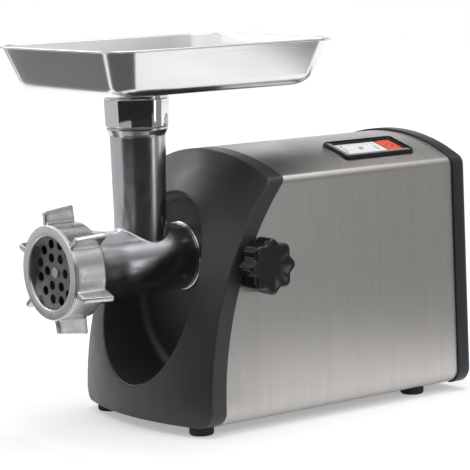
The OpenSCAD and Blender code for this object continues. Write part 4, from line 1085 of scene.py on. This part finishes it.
# %% The neck ring
NECK_LOW, NECK_TOP = 25.3, 26.1
NECK_Z = span("tray_neck", "z")[0]
NECK_SHOULDER = NECK_Z + 22.0
SEAM = 0.15
GRIP_R, FLANGE_R = THROAT_R + 2.4, THROAT_R + 4.4
BORE_TOP = SPIGOT_H + 0.35
outer = [(SPIGOT_R + 0.1, NECK_Z), (NECK_LOW, NECK_Z), (NECK_TOP, NECK_SHOULDER)]
outer += [(NECK_TOP - 1.0, NECK_SHOULDER + 0.4), (NECK_TOP - 1.6, outer_floor - SEAM)]
outer = rounded(outer + [(GRIP_R, outer_floor - SEAM)], [0.8, 1.0, 0.3, 0.4], 5)
grip = [(GRIP_R, inner_floor + SEAM), (FLANGE_R, inner_floor + SEAM)]
grip += [(FLANGE_R, inner_floor + 0.8), (FLANGE_R - 0.5, inner_floor + 1.15)]
grip += [(THROAT_R, inner_floor + 1.15)]
bore = [(THROAT_R, BORE_TOP), (SPIGOT_R + 0.06, BORE_TOP)]
profile = outer + grip + bore
neck = skin("tray_neck_ring", turned(profile, "z", (0, TUBE_Y, 0), 96), loop=True)
dress(neck, "tray", buffed_steel.material, ["tray_neck"])

# %% [markdown]
# ## The lock knob
#
# The knob clamps the head in its socket. It is moulded in gloss black with eight rounded
# lobes, softened front and back, and a slightly dished face. A cosine on the radius makes
# the lobes, and they fade towards the middle of the face.

# %% The knob
KNOB_R, KNOB_SWELL, LOBES = 22.3, 1.7, 8
KNOB_REAR, KNOB_FACE = span("lock_knob", "x")


def knob_ring(x, inset, lobed=1.0):
    """One ring of the knob."""
    ring = []
    for a in circle_angles(128):
        wave = KNOB_SWELL * (lobed * math.cos(math.radians(LOBES * a)) - 1)
        u, v = polar(KNOB_R - inset + wave, a)
        ring.append((x, LOCK_Y + u, AXIS_H + v))
    return ring


def bolt_ring(r, x):
    """A round ring for the blind hole in the knob's back."""
    return knob_ring(x, KNOB_R - KNOB_SWELL - r, 0.0)


FACE_R, BACK_R = 2.4, 1.2
HOLE_FIT = 0.06
KNOB_STEPS = 5
BOLT_END = KNOB_REAR + 12.3
side_low, side_high = KNOB_REAR + BACK_R, KNOB_FACE - FACE_R
rings = [bolt_ring(BOLT_R + HOLE_FIT, x) for x in (BOLT_END, KNOB_REAR)]
rings.append(knob_ring(KNOB_REAR, 4, 0.6))
rings += [knob_ring(KNOB_REAR + ahead, inset) for ahead, inset in edge_roll(BACK_R)]
for k in range(1, KNOB_STEPS):
    rings.append(knob_ring(side_low + (side_high - side_low) * k / KNOB_STEPS, 0))
rings += [knob_ring(KNOB_FACE - back, inset) for inset, back in edge_roll(FACE_R)]
for dish, inset, lobed in ((0.25, 5.0, 0.75), (0.5, 9.0, 0.4), (0.6, 15.0, 0.1)):
    rings.append(knob_ring(KNOB_FACE - dish, inset, lobed))
knob = skin("lobed_lock_knob", rings, caps=(0, -1))
dress(knob, "knob", gloss_black.material, ["lock_knob"])

# %% [markdown]
# ## The switch panel
#
# A raised frame in gloss black holds a long white rocker with three positions and an orange
# red key that reverses the motor. The frame is a rounded ring that sits on the arched roof,
# so its lower edge follows the arch. Panel pieces are drawn in the panel's own plane and
# then laid on the slope.

# %% From the panel's plane to the roof
tilt_cos, tilt_sin = polar(1, PANEL_TILT)
PANEL_CORNER_STEPS = 7


def on_panel(u, v, w):
    """A point of the panel: u down the slope, v along the machine, w out of the roof."""
    x = PANEL_X + u * tilt_cos + w * tilt_sin
    return (x, PANEL_Y + v, PANEL_Z - u * tilt_sin + w * tilt_cos)


def panel_ring(width, length, radius, w, middle=0.0):
    """A rounded rectangle in the panel's plane. w is a number or a rule of u and v."""
    corners = corner_arcs(width / 2, length / 2, radius, PANEL_CORNER_STEPS)
    points = [(u, middle + v) for corner in corners for u, v in corner]
    return [on_panel(u, v, w(u, v) if callable(w) else w) for u, v in points]


def roof_drop(u, v):
    """Place of the roof below the panel's plane, with a hair of clearance."""
    return math.sqrt(ARCH_R**2 - u * u) - ARCH_R + 0.03


# %% The panel frame
BEZEL_W, BEZEL_L, BEZEL_H = 34.0, 75.0, 2.6
rim = [(0, 4, roof_drop), (0, 4, 0.6), (0.5, 3.8, 1.5), (1.2, 3.5, BEZEL_H - 0.35)]
rim.append((2.0, 3.2, BEZEL_H))
pocket = [(1.6, 1.6, BEZEL_H), (0.5, 1.2, BEZEL_H - 0.3), (0, 1.0, BEZEL_H - 1.0)]
pocket.append((0, 1.0, roof_drop))
rows = [(BEZEL_W - cut, BEZEL_L - cut, radius, w) for cut, radius, w in rim]
rows += [(POCKET_W + spare, POCKET_L + spare, radius, w) for spare, radius, w in pocket]
bezel = skin("switch_panel_frame", [panel_ring(*row) for row in rows], loop=True)
dress(bezel, "root", gloss_black.material, ["switch_bezel"])

# %% [markdown]
# ## The keys and their marks
#
# The rocker is almost flat and tips by only a few degrees. Its marks are the usual ones: a
# bar for on, a ring for off and an arrow for the slow speed. The reverse key carries a
# curved arrow. Marks are thin inlays with a colour of their own, so they tilt with the key.

# %% Rocker and reverse key
KEY_W, ROCKER_L, KEY_L = 22.0, 45.0, 15.5
KEY_GAP, KEY_SOFT = 0.45, 0.5
ROCKER_V = -POCKET_L / 2 + KEY_GAP + ROCKER_L / 2
KEY_V = POCKET_L / 2 - KEY_GAP - KEY_L / 2
ROCKER_TOP = KEY_TOP = BEZEL_H - 1.2


def rocker_face(u, v):
    """The rocker's face: a very flat V with its low line at the pivot."""
    return ROCKER_TOP - 0.4 * abs(v - ROCKER_V) / (ROCKER_L / 2)


def key_face(u, v):
    """The reverse key's face is flat."""
    return KEY_TOP


def key_rings(length, middle, face, depth):
    """Rings of a key from its foot to a softened edge and its face."""
    rings = [panel_ring(KEY_W, length, 0.8, -depth, middle)]
    for shrink, down in edge_roll(KEY_SOFT):
        size = (KEY_W - 2 * shrink, length - 2 * shrink)
        rings.append(panel_ring(*size, 0.8, lambda u, v, d=down: face(u, v) - d, middle))
    rings += [panel_ring(w, length - 2, 0.1, face, middle) for w in (KEY_W - 3, KEY_W / 2, 1.0)]
    return rings


rocker = skin("white_rocker", key_rings(ROCKER_L, ROCKER_V, rocker_face, 2.5), caps=(0, -1))
dress(rocker, "rocker", white_key.material, ["rocker"])
reverse = skin("orange_reverse_key", key_rings(KEY_L, KEY_V, key_face, 3.5), caps=(0, -1))
dress(reverse, "key", red_key.material, ["reverse_key"])

# %% Marks on the keys
INK, SUNK = 0.05, -0.1
on_rocker = (rocker_face, "rocker", grey_print)
on_key = (key_face, "key", red_print)


def mark(name, outline_points, face, body, finish):
    """A thin inlay with a closed outline of (u, v) points."""
    rings = [[on_panel(u, v, face(u, v) + w) for u, v in outline_points] for w in (SUNK, INK)]
    piece = skin(name, rings, caps=(0, -1))
    return dress(piece, body, finish.material)


def ring_mark(name, u, v, r, width, face, body, finish, start=0, end=360):
    """A ring, or part of one, as an inlay."""
    outer = arc(u, v, r, start, end, 28)
    inner = arc(u, v, r - width, start, end, 28)
    if end - start < 360:
        return mark(name, outer + inner[::-1], face, body, finish)
    loops = [(outer[:-1], SUNK), (outer[:-1], INK), (inner[:-1], INK), (inner[:-1], SUNK)]
    rings = [[on_panel(a, b, face(a, b) + w) for a, b in loop] for loop, w in loops]
    return dress(skin(name, rings, loop=True), body, finish.material)


def bar(u0, u1, v0, v1):
    """The four corners of a bar."""
    return [(u0, v0), (u1, v0), (u1, v1), (u0, v1)]


def arrow(u, v, size, turn):
    """The three corners of an arrow head at (u, v)."""
    return [(u + du, v + dv) for du, dv in (polar(size, turn + k) for k in (0, 130, 230))]


front_v, rear_v = ROCKER_V - 16.5, ROCKER_V + 15.5
mark("mark_on_bar", bar(-3.5, 3.5, front_v - 0.5, front_v + 0.5), *on_rocker)
mark("mark_on_arrow", arrow(-6.6, front_v, 1.6, 180), *on_rocker)
mark("mark_low_bar", bar(3.0, 8.0, front_v - 3.4, front_v - 2.5), *on_rocker)
ring_mark("mark_off_ring", 0, ROCKER_V, 1.9, 0.75, *on_rocker)
mark("mark_slow_bar", bar(-2.4, 2.4, rear_v - 0.45, rear_v + 0.45), *on_rocker)
mark("mark_slow_arrow", arrow(4.4, rear_v, 1.5, 0), *on_rocker)
ring_mark("mark_reverse_arc", 0, KEY_V, 3.3, 0.9, *on_key, 20, 300)
mark("mark_reverse_arrow", arrow(2.9, KEY_V + 0.3, 1.9, 100), *on_key)

# %% [markdown]
# ## The floor and the studio
#
# The machine stands on a plain white table in a white studio. The floor takes a soft shadow.
# Its own glow is seen only by the camera, by mirrors and through glass, so it whitens the
# picture without adding light to the machine. The lamps reach less far than the table does,
# so the glow grows with the distance and the white stays even. The world is full white to
# the same rays, and gives half of that as soft light from all sides.

# %% The table
WHITE_RAYS = ("Is Camera Ray", "Is Glossy Ray", "Is Transmission Ray")


def seen_directly(nodes, links):
    """1 for rays from the camera, a mirror or glass, and 0 for rays that carry light."""
    path = nodes.new("ShaderNodeLightPath")
    total = path.outputs[WHITE_RAYS[0]]
    for name in WHITE_RAYS[1:]:
        add = nodes.new("ShaderNodeMath")
        add.operation = "MAXIMUM"
        links.new(total, add.inputs[0])
        links.new(path.outputs[name], add.inputs[1])
        total = add.outputs[0]
    return total


FLOOR_HALF = 3.0
GLOW_REACH, GLOW_STRENGTH = (0.4, 2.2), (0.36, 0.58)
WORLD_STRENGTH = (0.5, 1.0)

mesh = bpy.data.meshes.new("studio_floor")
corners = [(x * FLOOR_HALF, y * FLOOR_HALF, 0) for x, y in ((-1, -1), (1, -1), (1, 1), (-1, 1))]
mesh.from_pydata(corners, [], [(0, 1, 2, 3)])
floor = bpy.data.objects.new("studio_floor", mesh)
bpy.context.scene.collection.objects.link(floor)

floor_white = Finish("white_table", 0.0, Roughness=0.7)
floor_white.colour(floor_white.noise((3, 3, 3), 2), (0.87, 0.87, 0.87), (0.9, 0.9, 0.9))
nodes, links = floor_white.nodes, floor_white.links
spot = nodes.new("ShaderNodeTexCoord")
distance = nodes.new("ShaderNodeVectorMath")
distance.operation = "LENGTH"
links.new(spot.outputs["Object"], distance.inputs[0])
glow = nodes.new("ShaderNodeMath")
glow.operation = "MULTIPLY"
links.new(seen_directly(nodes, links), glow.inputs[0])
far_glow = remap(nodes, links, distance.outputs["Value"], GLOW_REACH, GLOW_STRENGTH)
links.new(far_glow, glow.inputs[1])
links.new(glow.outputs[0], floor_white.shader.inputs["Emission Strength"])
floor_white.shader.inputs["Emission Color"].default_value = (1, 1, 1, 1)
mesh.materials.append(floor_white.material)

# %% The white world
world = bpy.data.worlds.new("white_studio")
bpy.context.scene.world = world
world.use_nodes = True
nodes, links = world.node_tree.nodes, world.node_tree.links
backdrop = nodes["Background"]
backdrop.inputs["Color"].default_value = (1, 1, 1, 1)
strength = remap(nodes, links, seen_directly(nodes, links), (0, 1), WORLD_STRENGTH)
links.new(strength, backdrop.inputs["Strength"])
print("floor of", 2 * FLOOR_HALF, "m, lit world at", WORLD_STRENGTH[0])

# %% [markdown]
# ## Cards and lamps
#
# Bright metal shows the room, not itself. In a white room it would look like paper, so grey
# and black cards stand round the machine, and lie on the table, where the metal should go
# dark. One bright strip does the opposite. Only reflections see these cards. Three soft
# boxes give the body its shape: overhead, on the left, and a weaker one on the right.

# %% A card that only mirrors see
CARD_MIDDLE_Y, CARD_STEPS = 60, 24
ROOM_R, UPRIGHT_R = 1500, 1490
STAND_H, TABLE_H, STRIP_H = 0.5, 0.6, 0.8


def card(name, start, end, profile, grey):
    """A card bent round the machine, seen only in reflections. 0 is the front, 90 the right."""
    turns = [math.radians(start + (end - start) * k / CARD_STEPS) for k in range(CARD_STEPS + 1)]
    rings = []
    for radius, z in profile:
        spots = [(radius * math.sin(a), CARD_MIDDLE_Y - radius * math.cos(a)) for a in turns]
        rings.append([(x, y, z) for x, y in spots])
    piece = skin(name, rings, around=False)
    cloth = Finish(name + "_cloth", 0.0, Roughness=1.0, Specular_IOR_Level=0.0)
    cloth.colour(cloth.noise((40, 40, 40), 2), (0, 0, 0), (0.004, 0.004, 0.004))
    cloth.shader.inputs["Emission Color"].default_value = (grey, grey, grey, 1)
    cloth.shader.inputs["Emission Strength"].default_value = 1.0
    piece.data.materials.append(cloth.material)
    piece.visible_camera = piece.visible_diffuse = piece.visible_shadow = False
    piece.visible_transmission = False


# %% The cards
def stand(near, high):
    """Profile of a card that lies on the table and turns up at its far edge."""
    return [(near, STAND_H), (ROOM_R, STAND_H), (ROOM_R, high)]


def on_table(near, far):
    """Profile of a card that only lies on the table."""
    return [(near, TABLE_H), (far, TABLE_H)]


def upright(low, high):
    """Profile of a card that only stands."""
    return [(UPRIGHT_R, low), (UPRIGHT_R, high)]


CARDS = {
    "dark_card_front": (-14, 112, stand(1130, 760), 0.022),
    "grey_card_left": (-110, -14, stand(880, 480), 0.58),
    "grey_card_right": (104, 148, stand(440, 900), 0.27),
    "tray_card_left": (-74, -40, upright(560, 930), 0.16),
    "tray_card_right": (104, 165, upright(900, 1330), 0.45),
    "overhead_card_back": (190, 262, upright(960, 2400), 0.02),
    "table_card_front": (30, 104, on_table(650, 1130), 0.03),
    "table_card_tube": (-14, 30, on_table(660, 1130), 0.42),
    "table_card_left": (-66, -25, on_table(360, 870), 0.17),
    "table_card_corner": (-11, 97, on_table(200, 650), 0.12),
    "bright_strip": (113, 121, [(1000, STRIP_H), (1480, STRIP_H), (1480, 420)], 1.6),
}
for name, values in CARDS.items():
    card(name, *values)
print("cards:", len(CARDS))


# %% Soft boxes
def soft_box(name, place, target, size, watts, mirrored=False):
    """A soft lamp that looks at a point, in mm from the datum. Mirrors may be kept from it."""
    lamp = bpy.data.lights.new(name, "AREA")
    lamp.shape, lamp.size, lamp.size_y = "RECTANGLE", size[0] * MM, size[1] * MM
    lamp.energy = watts
    box = bpy.data.objects.new(name, lamp)
    box.location = at(*place)
    box.rotation_euler = (at(*target) - box.location).to_track_quat("-Z", "Y").to_euler()
    box.visible_glossy = mirrored
    bpy.context.scene.collection.objects.link(box)
    print(name, "gives", watts, "W")


soft_box("overhead_box", (100, 250, 1500), (0, 60, 150), (1100, 1100), 9.5, True)
soft_box("left_box", (-1300, -450, 1250), (0, 40, 140), (300, 700), 4, True)
soft_box("right_box", (1300, 500, 700), (0, 80, 120), (400, 900), 3.5)

# %% [markdown]
# ## The camera
#
# A long lens from the front right, a little above the machine, keeps the lines nearly
# parallel. The camera leans by a degree and a half, as a hand-set one does, so its axes are
# written out instead of being taken from a tracking constraint.

# %% The camera
AZIMUTH, ELEVATION, ROLL = 52.38, 7.89, -1.42
DISTANCE = 1827.4
TARGET = (0.0, 56.33, 142.53)
PICTURE = 470
FOCAL_PX, CENTRE_PX = 2229.9, 234.0
SENSOR = 36.0

azimuth, elevation, roll = (math.radians(a) for a in (AZIMUTH, ELEVATION, ROLL))
level_x, level_y = math.sin(azimuth), -math.cos(azimuth)
level_part, upward = math.cos(elevation), math.sin(elevation)
back = Vector((level_x * level_part, level_y * level_part, upward))
right = (-back).cross(Vector((0, 0, 1))).normalized()
up = right.cross(-back)
rolled_right = math.cos(roll) * right + math.sin(roll) * up
rolled_up = math.cos(roll) * up - math.sin(roll) * right
axes = Matrix((rolled_right, rolled_up, back)).transposed().to_4x4()

lens = bpy.data.cameras.new("camera")
lens.sensor_width = SENSOR
lens.lens = FOCAL_PX / PICTURE * SENSOR
lens.shift_x = (PICTURE / 2 - CENTRE_PX) / PICTURE
camera = bpy.data.objects.new("camera", lens)
camera.matrix_world = Matrix.Translation(at(*TARGET) + back * DISTANCE * MM) @ axes
bpy.context.scene.collection.objects.link(camera)
bpy.context.scene.camera = camera
bpy.context.scene.view_settings.view_transform = "Standard"
print("lens", round(lens.lens, 1), "mm")
